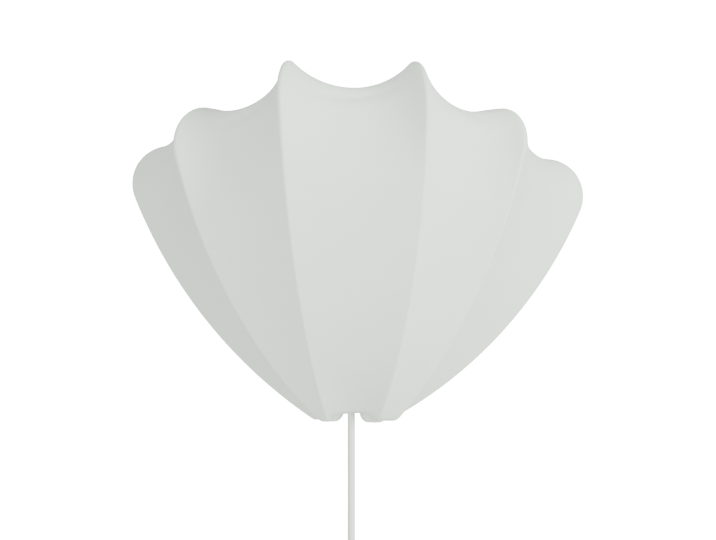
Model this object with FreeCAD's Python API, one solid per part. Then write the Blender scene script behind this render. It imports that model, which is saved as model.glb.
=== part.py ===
"""Plug-in wall light with a shade like half a scallop shell.

Six bent steel ribs fan out from two upright rods at the wall, and stretch
fabric is pulled over them, so each gore dips between its two ribs. A short
lampholder stands on a bracket inside. The lead leaves between the two feet,
hangs straight down to an in-line switch, and its spare length is coiled.

X is to the viewer's right, Y is into the wall and Z is up, in millimetres.
The wall's face is y = 0, and the origin lies on it, midway between the two
keyholes of the hanger strip.
"""
import FreeCAD, Part
import math
import os

V = FreeCAD.Vector

# ---- clearances ---------------------------------------------------------
SEAT = 0.2            # between pieces that are welded, screwed or pressed together
SOFT_SEAT = 0.5       # between fabric and the wire it is stretched over
GORE_GAP = 0.3        # between two gores, on the crest of the rib they share
SLIDE = 0.3           # between the rocker and what it moves past

# ---- the welded frame ---------------------------------------------------
FOOT_DROP = 177.0     # from the keyholes down to the ribs' lowest centre line
LEFT_SPINE_X = -20.0
RIGHT_SPINE_X = 17.0
SPINE_D = 6.0
RIB_D = 4.0
TOE_R = 10.5          # bend at the foot of each rib
ROOF_R = 300.0        # crown of each rib's way back to the wall
BLOCK_D = 18.0        # round blocks that the ribs are welded to
BLOCK_BEVEL = 3.5     # round each block's lower edge
FOOT_BLOCK_H = 13.0
FOOT_BLOCK_BELOW = 3.0     # how far a foot block reaches below the ribs' feet
HEAD_BLOCK_H = 40.0
HEAD_BLOCK_BELOW = 8.0     # how far a head block reaches below its lowest rib

# name, side, angle from straight ahead, reach from the spine, its top above
# the keyholes, radius of its long flank, straight run at its foot, its head
# above the keyholes, bend radius at its far top
RIBS = [
    ("outer_rib_left", "left", -90.0, 175.0, 62.2, 430.0, 11.0, 28.0, 30.5),
    ("mid_rib_left", "left", -49.4, 172.3, 91.4, 467.0, 9.0, 46.0, 30.0),
    ("centre_rib_left", "left", -13.7, 172.2, 128.9, 482.0, 9.0, 52.0, 30.0),
    ("centre_rib_right", "right", 16.2, 165.2, 129.0, 387.0, 19.0, 52.0, 37.0),
    ("mid_rib_right", "right", 44.4, 183.8, 89.4, 521.0, 26.0, 46.0, 25.0),
    ("outer_rib_right", "right", 90.0, 186.5, 50.3, 384.0, 13.3, 28.0, 30.0),
]

STRIP_T = 2.0
HANGER_W = 170.0
HANGER_H = 20.0
KEYHOLE_SPACING = 130.0
KEYHOLE_R = 4.5       # the round part, which passes over a screw's head
KEYHOLE_SLOT_W = 4.6  # the slot above it, which holds the screw's shank
KEYHOLE_SLOT_L = 7.0  # from the round part's centre to the slot's round end
CROSS_OVERHANG = 6.0  # how far a cross strip reaches past each spine's axis
LAMP_STRIP_H = 22.0
CORD_STRIP_H = 16.0

# ---- lampholder and bulb ------------------------------------------------
LAMP_FROM_WALL = 58.0
BRACKET_TOP = 120.0        # height of the bracket's shelf above the ribs' feet
BRACKET_W = 16.0
BRACKET_T = 2.0
BRACKET_LEG = 24.0
BRACKET_NOSE = 11.0        # from the lamp's axis to the shelf's front edge
BRACKET_SCREW_D = 4.0
BRACKET_SCREW_HEAD_D = 7.6
BRACKET_SCREW_HEAD_H = 2.4
BRACKET_SCREW_PITCH = 11.0
NIPPLE_D = 10.0
NIPPLE_BORE = 7.6
NIPPLE_ABOVE = 7.0
NIPPLE_BELOW = 9.0
NUT_ACROSS = 14.0
NUT_H = 4.0
GRIP_D = 15.0
GRIP_END_D = 9.6
GRIP_H = 14.0
HOLDER_D = 28.0
HOLDER_WALL = 1.6
HOLDER_CAP_H = 17.0
HOLDER_CAP_FOOT_D = 18.0
HOLDER_SHELL_H = 31.0
HOLDER_MOUTH_D = 18.6
CORE_H = 9.0
SCREW_SHELL_BORE = 14.4
SCREW_SHELL_WALL = 0.8
SCREW_SHELL_H = 17.0
CONTACT_D = 5.0
CONTACT_H = 1.6
TERMINAL_SCREW_D = 3.0
TERMINAL_SCREW_L = 5.0
BULB_CAP_D = 13.8
BULB_CAP_H = 15.0
BULB_CAP_BEAD_COUNT = 4
BULB_TIP_D = 5.0
BULB_TIP_H = 2.0
BULB_COLLAR_H = 22.0
BULB_COLLAR_TOP_D = 36.0
BULB_D = 45.0
BULB_GLASS_T = 1.0

# ---- the shade ----------------------------------------------------------
FABRIC_T = 1.0        # drawn as thick as it needs to be a solid
FOOT_EDGE = 4.0       # from a foot block to the edge of the fabric
HEAD_EDGE = 5.0       # the same at a head block, where the gores dip towards it
HEM_TAIL = 8.0        # how far the hem reaches in behind an outer rib
HEM_START = math.radians(40)   # how far behind an outer rib's crest the hem starts
LEAST_DIP = 0.52      # a dip's least radius, as a share of the distance across
LEAST_WRAP = math.radians(5)   # of each gore round a rib, where both dips nearly meet it
# radius of a gore's dip across it, from its foot round to the head
OUTER_LEFT_DIP = [60.0, 70.0, 260.0, 420.0, 298.0, 219.0, 212.0, 200.0, 28.0]
INNER_LEFT_DIP = [60.0, 70.0, 260.0, 420.0, 260.0, 80.0, 69.0, 65.0, 60.0]
CENTRE_DIP = [24.0, 30.0, 300.0, 420.0, 300.0, 84.0, 70.0, 68.0, 60.0]
INNER_RIGHT_DIP = [60.0, 70.0, 260.0, 420.0, 260.0, 80.0, 63.0, 59.0, 60.0]
OUTER_RIGHT_DIP = [60.0, 70.0, 260.0, 420.0, 327.0, 240.0, 187.0, 180.0, 28.0]
GORE_DIPS = [OUTER_LEFT_DIP, INNER_LEFT_DIP, CENTRE_DIP, INNER_RIGHT_DIP, OUTER_RIGHT_DIP]
BUMPER_D = 9.0

# ---- the lead -----------------------------------------------------------
CORD_D = 6.8
CORD_X = -1.5
CORD_FROM_WALL = 11.0
CORD_TAB_H = 33.0          # height of the outlet tab's underside above the ribs' feet
CORD_TAB_W = 20.0
CORD_TAB_NOSE = 10.0       # from the lead's axis to the tab's front edge
INNER_BEND_R = 28.0
OUTLET_NECK_D = 10.4
OUTLET_COLLAR_D = 13.0
OUTLET_COLLAR_T = 1.6
OUTLET_RELIEF_L = 19.0
RELIEF_TOP_D = 11.4
RELIEF_END_D = 8.8
LEAD_DROP = 127.5     # from the outlet's strain relief to the switch's upper one

# ---- in-line switch -----------------------------------------------------
SWITCH_W = 28.0
SWITCH_L = 62.0
SWITCH_T = 21.0
SWITCH_CORNER_R = 10.0
SWITCH_WALL = 2.0
SWITCH_RELIEF_L = 20.0
ROCKER_W = 11.4
ROCKER_R = 10.6       # from its pivot to either end
ROCKER_TILT = 8.0     # either side of level, so it travels twice this
ROCKER_PROUD = 1.2    # how far its middle stands out of the shell
ROCKER_PIVOT_IN = 3.4 # from the shell's face in to the pivot
ROCKER_WEB = 5.0      # half length of the part below the pivot
ROCKER_BELOW = 1.6
PIVOT_D = 2.0
PIVOT_ROOM = 5.0      # how far the pivot's room runs past the rocker on each side
SWITCH_SCREW_D = 2.6
SWITCH_SCREW_HEAD_D = 4.8
SWITCH_SCREW_HEAD_H = 1.6
SWITCH_SCREW_INSET = 8.0
TERMINAL_W = 5.0

# ---- the coil of spare lead ---------------------------------------------
COIL_GAP = 0.6        # between neighbouring turns and between the layers
COIL_INNER_R = 28.0   # of the turn that climbs from the back layer to the front one
COIL_BACK_HALVES = 6  # half turns in the back layer; the outermost starts part of the way round
COIL_FRONT_HALVES = 5
COIL_JOIN = 114.0     # angle at which the lead joins the outermost turn
DROP_RUN = 8.0        # straight run below the switch's lower strain relief
DROP_BEND_R = 35.0
TAIL_RISE = 30.0      # straight run up before the last loop
TAIL_LOOP_R = 28.0
TIE_W = 10.0
TIE_T = 1.2

# ---- plug ---------------------------------------------------------------
PLUG_W = 35.0
PLUG_T = 13.7
PLUG_L = 36.0
PLUG_FACE_W = 26.0
PLUG_NECK_W = 14.0
PLUG_WIDEST = 10.0    # from the face back to the widest place
PLUG_EDGE_R = 2.5
PLUG_RELIEF_L = 22.0
PLUG_GAP = 0.6        # between the front layer of the coil and the plug
PIN_D = 4.0
PIN_L = 19.0
PIN_SPACING = 18.6

# ---- places that follow -------------------------------------------------
spine_y = -(STRIP_T + SEAT + SPINE_D / 2)
spine_x = {"left": LEFT_SPINE_X, "right": RIGHT_SPINE_X}
block_r = BLOCK_D / 2
crest = RIB_D / 2 + SOFT_SEAT + FABRIC_T     # wire's centre to the fabric's outside
head_low = min(rib[7] for rib in RIBS)
lamp_x = CORD_X
lamp_y = -LAMP_FROM_WALL
cord_y = -CORD_FROM_WALL


def level(height):
    """The Z of a height above the ribs' lowest centre line."""
    return height - FOOT_DROP


# ---- small shapes -------------------------------------------------------
def cylinder(diameter, length, base, axis=V(0, 0, 1)):
    return Part.makeCylinder(diameter / 2, length, base, axis)


def cone(d0, d1, length, base, axis=V(0, 0, 1)):
    return Part.makeCone(d0 / 2, d1 / 2, length, base, axis)


def box(x0, x1, y0, y1, z0, z1):
    return Part.makeBox(x1 - x0, y1 - y0, z1 - z0, V(x0, y0, z0))


def arc(a, b, c):
    return Part.Arc(a, b, c).toShape()


def line(a, b):
    return Part.LineSegment(a, b).toShape()


def turned(outline, axis_x, axis_y):
    """A solid of revolution about an upright axis, from (radius, z) points."""
    points = [V(axis_x + r, axis_y, z) for r, z in outline]
    face = Part.Face(Part.makePolygon(points + points[:1]))
    return face.revolve(V(axis_x, axis_y, 0), V(0, 0, 1), 360)


def tube(edges, diameter):
    """A round tube along edges that run on into each other without a corner."""
    path = Part.Wire(edges)
    first = edges[0]
    start = first.valueAt(first.FirstParameter)
    heading = first.tangentAt(first.FirstParameter)
    ring = Part.Wire([Part.makeCircle(diameter / 2, start, heading)])
    return path.makePipeShell([ring], True, False)


def hexagon(across, height, base):
    corner = across / math.sqrt(3)
    points = [base + V(corner * math.cos(math.radians(60 * k + 30)),
                       corner * math.sin(math.radians(60 * k + 30)), 0) for k in range(7)]
    return Part.Face(Part.makePolygon(points)).extrude(V(0, 0, height))


# ---- ribs ---------------------------------------------------------------
def meeting(c0, d0, c1, d1, sign):
    """Where circles of radius d0 about c0 and d1 about c1 meet, on the side that sign names."""
    gap = math.hypot(c1[0] - c0[0], c1[1] - c0[1])
    along = (d0 * d0 - d1 * d1 + gap * gap) / (2 * gap)
    aside = math.sqrt(d0 * d0 - along * along)
    ux = (c1[0] - c0[0]) / gap
    uy = (c1[1] - c0[1]) / gap
    return (c0[0] + along * ux - sign * aside * uy, c0[1] + along * uy + sign * aside * ux)


def bearing(origin, target):
    return math.atan2(target[1] - origin[1], target[0] - origin[0])


class Rib:
    """One rib's centre line: a straight foot, then toe, flank, shoulder and roof arcs.

    It lies in an upright plane through its spine, as (distance from the spine, height).
    """

    def __init__(self, name, side, angle, reach, top, flank_r, foot, head, shoulder_r):
        self.name = name
        self.side = side
        self.angle = math.radians(angle)
        toe = (foot, TOE_R)
        shoulder = (reach - shoulder_r, FOOT_DROP + top - shoulder_r)
        end = (block_r / 2, FOOT_DROP + head)
        flank = meeting(toe, flank_r - TOE_R, shoulder, flank_r - shoulder_r, 1)
        roof = meeting(shoulder, ROOF_R - shoulder_r, end, ROOF_R, 1)
        low = bearing(flank, toe)
        high = bearing(flank, shoulder)
        over = bearing(roof, shoulder)
        last = bearing(roof, end)
        self.foot = foot
        self.start = block_r / 2
        self.arcs = [
            (toe, TOE_R, -math.pi / 2, low),
            (flank, flank_r, low, high),
            (shoulder, shoulder_r, high, over),
            (roof, ROOF_R, over, last),
        ]
        self.lengths = [foot - self.start] + [r * (b - a) for _, r, a, b in self.arcs]

    def at(self, distance):
        """The point at a distance along the centre line, and the angle of its outward side."""
        if distance <= self.lengths[0]:
            return (self.start + distance, 0.0), -math.pi / 2
        distance -= self.lengths[0]
        for length, (centre, radius, a, b) in zip(self.lengths[1:], self.arcs):
            if distance <= length or (centre, radius, a, b) == self.arcs[-1]:
                turn = a + (b - a) * distance / length
                break
            distance -= length
        return (centre[0] + radius * math.cos(turn), centre[1] + radius * math.sin(turn)), turn

    def marks(self):
        """Distances where the fabric starts, the flank starts and ends, the roof starts,
        and the fabric ends."""
        edge = block_r + FOOT_EDGE
        if self.foot > edge:
            first = edge - self.start
        else:
            first = self.lengths[0] + TOE_R * math.asin((edge - self.foot) / TOE_R)
        joints = [sum(self.lengths[:k]) for k in (2, 3, 4)]
        last = sum(self.lengths)
        while self.at(last)[0][0] < block_r + HEAD_EDGE:
            last -= 0.25
        return [first] + joints + [last]

    def world(self, point):
        r, h = point
        return V(spine_x[self.side] + r * math.sin(self.angle),
                 spine_y - r * math.cos(self.angle), level(h))

    def outward(self, turn):
        return V(math.cos(turn) * math.sin(self.angle),
                 -math.cos(turn) * math.cos(self.angle), math.sin(turn))

    def edges(self, first=0.0, last=None):
        """The centre line's edges between two distances."""
        last = sum(self.lengths) if last is None else last
        made = []
        begun = 0.0
        for k, length in enumerate(self.lengths):
            a = max(first, begun)
            b = min(last, begun + length)
            if b - a > 1e-6:
                points = [self.world(self.at(s)[0]) for s in (a, (a + b) / 2, b)]
                made.append(line(points[0], points[2]) if k == 0 else arc(*points))
            begun += length
        return made


ribs = [Rib(*row) for row in RIBS]


def rib_wire(rib):
    """The bent wire, coped at both ends to the blocks that it is welded to."""
    x = spine_x[rib.side]
    room = BLOCK_D + 2 * SEAT
    foot = cylinder(room, FOOT_BLOCK_H + RIB_D, V(x, spine_y, level(-FOOT_BLOCK_BELOW - RIB_D)))
    head = cylinder(room, HEAD_BLOCK_H + RIB_D, V(x, spine_y, head_low - HEAD_BLOCK_BELOW))
    return tube(rib.edges(), RIB_D).cut(foot).cut(head)


# ---- frame at the wall --------------------------------------------------
def spine(side):
    bottom = level(-FOOT_BLOCK_BELOW)
    top = head_low - HEAD_BLOCK_BELOW + HEAD_BLOCK_H
    return cylinder(SPINE_D, top - bottom, V(spine_x[side], spine_y, bottom))


def block(side, bottom, height):
    """A round block bored for its spine, bevelled below, with a flat against the wall."""
    x = spine_x[side]
    bore = cylinder(SPINE_D + 2 * SEAT, height, V(x, spine_y, bottom))
    bevel = cone(BLOCK_D - 2 * BLOCK_BEVEL, BLOCK_D, BLOCK_BEVEL, V(x, spine_y, bottom))
    above = cylinder(BLOCK_D, height - BLOCK_BEVEL, V(x, spine_y, bottom + BLOCK_BEVEL))
    body = bevel.fuse(above).cut(bore)
    behind = box(x - BLOCK_D, x + BLOCK_D, 0, BLOCK_D, bottom, bottom + height)
    return body.cut(behind)


def foot_block(side):
    return block(side, level(-FOOT_BLOCK_BELOW), FOOT_BLOCK_H)


def head_block(side):
    return block(side, head_low - HEAD_BLOCK_BELOW, HEAD_BLOCK_H)


def hanger_strip():
    """The strip that hangs on two wall screws, by keyholes."""
    strip = box(-HANGER_W / 2, HANGER_W / 2, -STRIP_T, 0, -HANGER_H / 2, HANGER_H / 2)
    for x in (-KEYHOLE_SPACING / 2, KEYHOLE_SPACING / 2):
        into = V(0, 1, 0)
        strip = strip.cut(cylinder(2 * KEYHOLE_R, STRIP_T, V(x, -STRIP_T, 0), into))
        strip = strip.cut(cylinder(KEYHOLE_SLOT_W, STRIP_T, V(x, -STRIP_T, KEYHOLE_SLOT_L), into))
        half = KEYHOLE_SLOT_W / 2
        strip = strip.cut(box(x - half, x + half, -STRIP_T, 0, 0, KEYHOLE_SLOT_L))
    return strip


def cross_strip(bottom, height):
    return box(LEFT_SPINE_X - CROSS_OVERHANG, RIGHT_SPINE_X + CROSS_OVERHANG,
               -STRIP_T, 0, bottom, bottom + height)


bracket_z = level(BRACKET_TOP)
leg_bottom = bracket_z - BRACKET_LEG
screw_heights = [leg_bottom + BRACKET_LEG / 2 - BRACKET_T + s * BRACKET_SCREW_PITCH / 2
                 for s in (-1, 1)]
screw_reach = STRIP_T + SEAT + BRACKET_T


def lamp_strip():
    """The cross strip that carries the lamp's bracket, tapped for its screws."""
    middle = sum(screw_heights) / 2
    strip = cross_strip(middle - LAMP_STRIP_H / 2, LAMP_STRIP_H)
    for z in screw_heights:
        hole = cylinder(BRACKET_SCREW_D + 2 * SEAT, STRIP_T, V(lamp_x, -STRIP_T, z), V(0, 1, 0))
        strip = strip.cut(hole)
    return strip


def lamp_bracket():
    """An angle: a leg screwed to the lamp strip and a shelf for the lampholder."""
    back = -(STRIP_T + SEAT)
    half = BRACKET_W / 2
    leg = box(lamp_x - half, lamp_x + half, back - BRACKET_T, back, leg_bottom, bracket_z)
    shelf = box(lamp_x - half, lamp_x + half, lamp_y - BRACKET_NOSE, back,
                bracket_z - BRACKET_T, bracket_z)
    bracket = leg.fuse(shelf).removeSplitter()
    hole = cylinder(NIPPLE_D + 2 * SEAT, BRACKET_T, V(lamp_x, lamp_y, bracket_z - BRACKET_T))
    bracket = bracket.cut(hole)
    for z in screw_heights:
        hole = cylinder(BRACKET_SCREW_D + 2 * SEAT, BRACKET_T,
                        V(lamp_x, back - BRACKET_T, z), V(0, 1, 0))
        bracket = bracket.cut(hole)
    return bracket


def bracket_screws():
    screws = []
    for z in screw_heights:
        face = -(screw_reach + SEAT)
        shank = cylinder(BRACKET_SCREW_D, screw_reach, V(lamp_x, face, z), V(0, 1, 0))
        head = cylinder(BRACKET_SCREW_HEAD_D, BRACKET_SCREW_HEAD_H,
                        V(lamp_x, face - BRACKET_SCREW_HEAD_H, z), V(0, 1, 0))
        slot = box(lamp_x - 0.4, lamp_x + 0.4, face - BRACKET_SCREW_HEAD_H,
                   face - BRACKET_SCREW_HEAD_H / 2, z - BRACKET_SCREW_HEAD_D, z + BRACKET_SCREW_HEAD_D)
        screws.append(shank.fuse(head).cut(slot))
    return Part.makeCompound(screws)


tab_z = level(CORD_TAB_H)


def cord_strip():
    """The lowest cross strip, with a tab forward that holds the outlet bush."""
    strip = cross_strip(tab_z + STRIP_T - CORD_STRIP_H, CORD_STRIP_H)
    half = CORD_TAB_W / 2
    tab = box(CORD_X - half, CORD_X + half, cord_y - CORD_TAB_NOSE, 0, tab_z, tab_z + STRIP_T)
    hole = cylinder(OUTLET_NECK_D + 2 * SEAT, STRIP_T, V(CORD_X, cord_y, tab_z))
    return strip.fuse(tab).removeSplitter().cut(hole)


# ---- lampholder ---------------------------------------------------------
nut_z = bracket_z - BRACKET_T - SEAT - NUT_H
grip_z = nut_z - SEAT - GRIP_H
cap_z = bracket_z + SEAT
shell_z = cap_z + HOLDER_CAP_H + SEAT
core_z = shell_z + SEAT
shell_bore_d = HOLDER_D - 2 * HOLDER_WALL
screw_shell_z = core_z + CORE_H + SEAT
contact_z = screw_shell_z + SCREW_SHELL_WALL + SEAT
tip_z = contact_z + CONTACT_H + SEAT
bulb_cap_z = tip_z + BULB_TIP_H
collar_z = bulb_cap_z + BULB_CAP_H
glass_z = collar_z + BULB_COLLAR_H


def nipple():
    """The threaded tube that holds cap, bracket, nut and cord grip together."""
    base = V(lamp_x, lamp_y, nut_z - NIPPLE_BELOW + NUT_H)
    top = cap_z + NIPPLE_ABOVE
    length = top - base.z
    return cylinder(NIPPLE_D, length, base).cut(cylinder(NIPPLE_BORE, length, base))


def nipple_nut():
    base = V(lamp_x, lamp_y, nut_z)
    return hexagon(NUT_ACROSS, NUT_H, base).cut(cylinder(NIPPLE_D + 2 * SEAT, NUT_H, base))


def cord_grip():
    """The plastic gland that clamps the inner lead below the bracket."""
    neck = NIPPLE_BELOW - NUT_H + 1
    bore_d = CORD_D + 2 * SEAT
    outline = [
        (bore_d / 2, grip_z), (GRIP_END_D / 2, grip_z), (GRIP_D / 2, grip_z + GRIP_H / 2),
        (GRIP_D / 2, grip_z + GRIP_H), (NIPPLE_D / 2 + SEAT, grip_z + GRIP_H),
        (NIPPLE_D / 2 + SEAT, grip_z + GRIP_H - neck), (bore_d / 2, grip_z + GRIP_H - neck),
    ]
    return turned(outline, lamp_x, lamp_y)


def holder_cap():
    """The lampholder's domed lower half, threaded on the nipple."""
    z = cap_z
    r_in = NIPPLE_D / 2 + SEAT
    foot = HOLDER_CAP_FOOT_D / 2
    rim = HOLDER_D / 2
    wall = HOLDER_WALL
    outline = [
        (r_in, z), (foot, z), (rim - 1.5, z + HOLDER_CAP_H * 0.45), (rim, z + HOLDER_CAP_H * 0.7),
        (rim, z + HOLDER_CAP_H), (rim - wall, z + HOLDER_CAP_H),
        (rim - wall, z + HOLDER_CAP_H * 0.72), (rim - wall - 1.5, z + HOLDER_CAP_H * 0.5),
        (foot - wall, z + wall * 2), (r_in, z + wall * 2),
    ]
    return turned(outline, lamp_x, lamp_y)


def holder_shell():
    """The lampholder's outer sleeve, with a lip round its mouth."""
    z = shell_z
    rim = HOLDER_D / 2
    bore = shell_bore_d / 2
    mouth = HOLDER_MOUTH_D / 2
    top = z + HOLDER_SHELL_H
    outline = [
        (bore, z), (rim, z), (rim, top - 1.5), (rim - 1.5, top), (mouth, top),
        (mouth, top - HOLDER_WALL), (bore, top - HOLDER_WALL),
    ]
    return turned(outline, lamp_x, lamp_y)


terminal_x = shell_bore_d / 2 - TERMINAL_SCREW_D


def holder_core():
    """The insulating core inside the sleeve, with its two terminal holes."""
    core = cylinder(shell_bore_d - 2 * SEAT, CORE_H, V(lamp_x, lamp_y, core_z))
    for s in (-1, 1):
        base = V(lamp_x + s * terminal_x, lamp_y, core_z)
        core = core.cut(cylinder(TERMINAL_SCREW_D + 2 * SEAT, TERMINAL_SCREW_L, base))
    return core


def terminal_screws():
    return Part.makeCompound([
        cylinder(TERMINAL_SCREW_D, TERMINAL_SCREW_L - SEAT, V(lamp_x + s * terminal_x, lamp_y, core_z))
        for s in (-1, 1)])


def screw_shell():
    """The brass shell that the bulb screws into, drawn without its thread."""
    base = V(lamp_x, lamp_y, screw_shell_z)
    outer = cylinder(SCREW_SHELL_BORE + 2 * SCREW_SHELL_WALL, SCREW_SHELL_H, base)
    bore = cylinder(SCREW_SHELL_BORE, SCREW_SHELL_H, base + V(0, 0, SCREW_SHELL_WALL))
    return outer.cut(bore)


def centre_contact():
    return cylinder(CONTACT_D, CONTACT_H, V(lamp_x, lamp_y, contact_z))


# ---- bulb ---------------------------------------------------------------
def bulb_tip():
    return cylinder(BULB_TIP_D, BULB_TIP_H - SEAT, V(lamp_x, lamp_y, tip_z))


def bulb_cap():
    """The bulb's metal screw cap, with the roll of its thread as beads."""
    r = BULB_CAP_D / 2
    root = r - 0.5
    foot = BULB_TIP_D / 2 + 1.5
    outline = [(0, bulb_cap_z), (foot, bulb_cap_z), (root, bulb_cap_z + 2.5)]
    pitch = (BULB_CAP_H - 4.0) / BULB_CAP_BEAD_COUNT
    for k in range(BULB_CAP_BEAD_COUNT):
        z = bulb_cap_z + 2.5 + k * pitch
        outline += [(r, z + pitch / 2), (root, z + pitch)]
    top = collar_z - SEAT
    outline += [(root, top), (0, top)]
    return turned(outline, lamp_x, lamp_y)


globe_r = BULB_D / 2
globe_z = glass_z + math.sqrt(globe_r ** 2 - (BULB_COLLAR_TOP_D / 2) ** 2)


def bulb_collar():
    """The plastic body between the cap and the glass."""
    low = BULB_CAP_D / 2 + 1.2
    high = BULB_COLLAR_TOP_D / 2
    top = glass_z - SEAT
    outline = [
        (0, collar_z), (low, collar_z), (low + 1.5, collar_z + BULB_COLLAR_H * 0.3),
        (high - 1.5, top - BULB_COLLAR_H * 0.25), (high, top), (0, top),
    ]
    return turned(outline, lamp_x, lamp_y)


def bulb_glass():
    """The round frosted globe, a thin shell open at the collar."""
    centre = V(lamp_x, lamp_y, globe_z)
    globe = Part.makeSphere(globe_r, centre)
    hollow = Part.makeSphere(globe_r - BULB_GLASS_T, centre)
    below = cylinder(BULB_D + 2, globe_r + 2, V(lamp_x, lamp_y, glass_z - globe_r - 2))
    return globe.cut(hollow).cut(below)


# ---- inner lead and outlet ----------------------------------------------
outlet_z = tab_z - OUTLET_COLLAR_T - SEAT - OUTLET_RELIEF_L


def inner_lead():
    """The lead from the cord grip, bent back to the wall and down through the outlet."""
    top = V(lamp_x, lamp_y, grip_z + GRIP_H / 2)
    across = cord_y - lamp_y
    turn = math.acos(max(0.0, 1 - across / (2 * INNER_BEND_R)))
    rise = INNER_BEND_R * math.sin(turn)
    span = INNER_BEND_R * (1 - math.cos(turn))
    above = grip_z - CORD_D
    a = V(lamp_x, lamp_y, above)
    b = V(lamp_x, lamp_y + across / 2, above - rise - (across / 2 - span))
    c = V(lamp_x, cord_y, b.z - rise - (across / 2 - span))
    half = turn / 2
    mid_a = V(lamp_x, lamp_y + INNER_BEND_R * (1 - math.cos(half)), above - INNER_BEND_R * math.sin(half))
    mid_c = V(lamp_x, cord_y - INNER_BEND_R * (1 - math.cos(half)), c.z + INNER_BEND_R * math.sin(half))
    end = V(lamp_x, cord_y, outlet_z)
    return tube([line(top, a), arc(a, mid_a, b), arc(b, mid_c, c), line(c, end)], CORD_D)


def outlet_bush():
    """The bush in the cord strip's tab: a neck through the hole and a collar above it."""
    bore = CORD_D / 2 + SEAT
    neck = OUTLET_NECK_D / 2
    collar = OUTLET_COLLAR_D / 2
    above = tab_z + STRIP_T + SEAT
    outline = [
        (bore, tab_z - OUTLET_COLLAR_T), (neck, tab_z - OUTLET_COLLAR_T), (neck, above),
        (collar, above), (collar, above + OUTLET_COLLAR_T), (bore, above + OUTLET_COLLAR_T),
    ]
    return turned(outline, CORD_X, cord_y)


def relief(top_z, length, top_d, end_d, x, y, bore_d):
    """A tapered sleeve that narrows downwards."""
    body = cone(end_d, top_d, length, V(x, y, top_z - length))
    return body.cut(cylinder(bore_d, length, V(x, y, top_z - length)))


def outlet_relief():
    """The strain relief below the tab, with the flange that holds the bush up."""
    bore_d = CORD_D + 2 * SEAT
    top = tab_z - SEAT
    flange = cylinder(OUTLET_COLLAR_D, OUTLET_COLLAR_T, V(CORD_X, cord_y, top - OUTLET_COLLAR_T))
    flange = flange.cut(cylinder(OUTLET_NECK_D + 2 * SEAT, OUTLET_COLLAR_T,
                                 V(CORD_X, cord_y, top - OUTLET_COLLAR_T)))
    taper = relief(top - OUTLET_COLLAR_T, OUTLET_RELIEF_L, RELIEF_TOP_D + 1.2, RELIEF_END_D,
                   CORD_X, cord_y, bore_d)
    return flange.fuse(taper)


# ---- shade --------------------------------------------------------------
def dip_centre(a, b, out_a, out_b, dip_r):
    """The centre of the dip across a gore, outside it, and the way out from the gore."""
    across = (b - a).normalize()
    half = (b - a).Length / 2
    out = out_a + out_b
    out = (out - across * out.dot(across)).normalize()
    deep = math.sqrt((dip_r + crest) ** 2 - half ** 2)
    return a + across * half + out * deep, out


def rim_turn(out, across, split, inward):
    """How far from out towards across a gore's rim stands, half a gap inside the parting plane.

    The parting plane holds the wire's direction and split, and inward is its
    normal on the gore's side: of the two angles at half a gap from the plane,
    this is the one nearest to split.
    """
    gap = GORE_GAP / 2 / (crest - FABRIC_T)
    high = out.dot(inward)
    wide = across.dot(inward)
    spread = math.acos(gap / math.hypot(high, wide))
    near = math.atan2(split.dot(across), split.dot(out))
    turns = [math.remainder(math.atan2(wide, high) + s * spread - near, math.tau) for s in (-1, 1)]
    return near + min(turns, key=abs)


def dip_section(a, b, part_a, part_b, centre, out, dip_r):
    """The fabric's outline across one gore, between two rib centres.

    Round each wire it is an arc about that wire, from where the gore is
    parted from its neighbour, and between them an arc tangent to both.
    """
    across = (b - a).normalize()

    def rim(part, tangent, sign):
        split, aside = part
        least = math.atan2(tangent.dot(across), tangent.dot(out)) * sign - LEAST_WRAP
        turn = min(rim_turn(out, across, split, aside * sign) * sign, least) * sign
        return out * math.cos(turn) + across * math.sin(turn)

    def ring(hub, direction_a, direction_b, radius):
        middle = (direction_a + direction_b).normalize()
        return arc(hub + direction_a * radius, hub + middle * radius, hub + direction_b * radius)

    to_a = (centre - a).normalize()
    to_b = (centre - b).normalize()
    rim_a = rim(part_a, to_a, 1)
    rim_b = rim(part_b, to_b, -1)
    edges = []
    for radius, reach in ((crest, dip_r), (crest - FABRIC_T, dip_r + FABRIC_T)):
        dip = arc(a + to_a * radius, centre - out * reach, b + to_b * radius)
        edges.append([ring(a, rim_a, to_a, radius), dip, ring(b, to_b, rim_b, radius)])
    outer, inner = edges
    ends = [line(b + rim_b * crest, b + rim_b * (crest - FABRIC_T)),
            line(a + rim_a * (crest - FABRIC_T), a + rim_a * crest)]
    return Part.Wire(Part.__sortEdges__(outer + [ends[0]] + inner[::-1] + [ends[1]]))


# how many sections of the fabric there are along the rib's foot, flank, shoulder and roof
SECTIONS = [2, 8, 7, 8]
STATIONS = [(stretch, k / count) for stretch, count in enumerate(SECTIONS) for k in range(count)]
STATIONS.append((3, 1.0))
DIP_AT = [0.0, 0.5, 1.2, 1.5, 1.8, 2.0, 2.5, 3.0, 4.0]


def dip_radius(dips, place):
    """The radius of the dip at a place along the rib, with its curvature varied evenly."""
    for k in range(len(DIP_AT) - 1):
        if place <= DIP_AT[k + 1]:
            share = (place - DIP_AT[k]) / (DIP_AT[k + 1] - DIP_AT[k])
            return 1 / ((1 - share) / dips[k] + share / dips[k + 1])
    return dips[-1]


def rib_station(k, stretch, share):
    """The point on rib k at a station, the way out of the shade there and the way along the wire."""
    marks = ribs[k].marks()
    point, turn = ribs[k].at(marks[stretch] + (marks[stretch + 1] - marks[stretch]) * share)
    return ribs[k].world(point), ribs[k].outward(turn), ribs[k].outward(turn + math.pi / 2)


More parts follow.
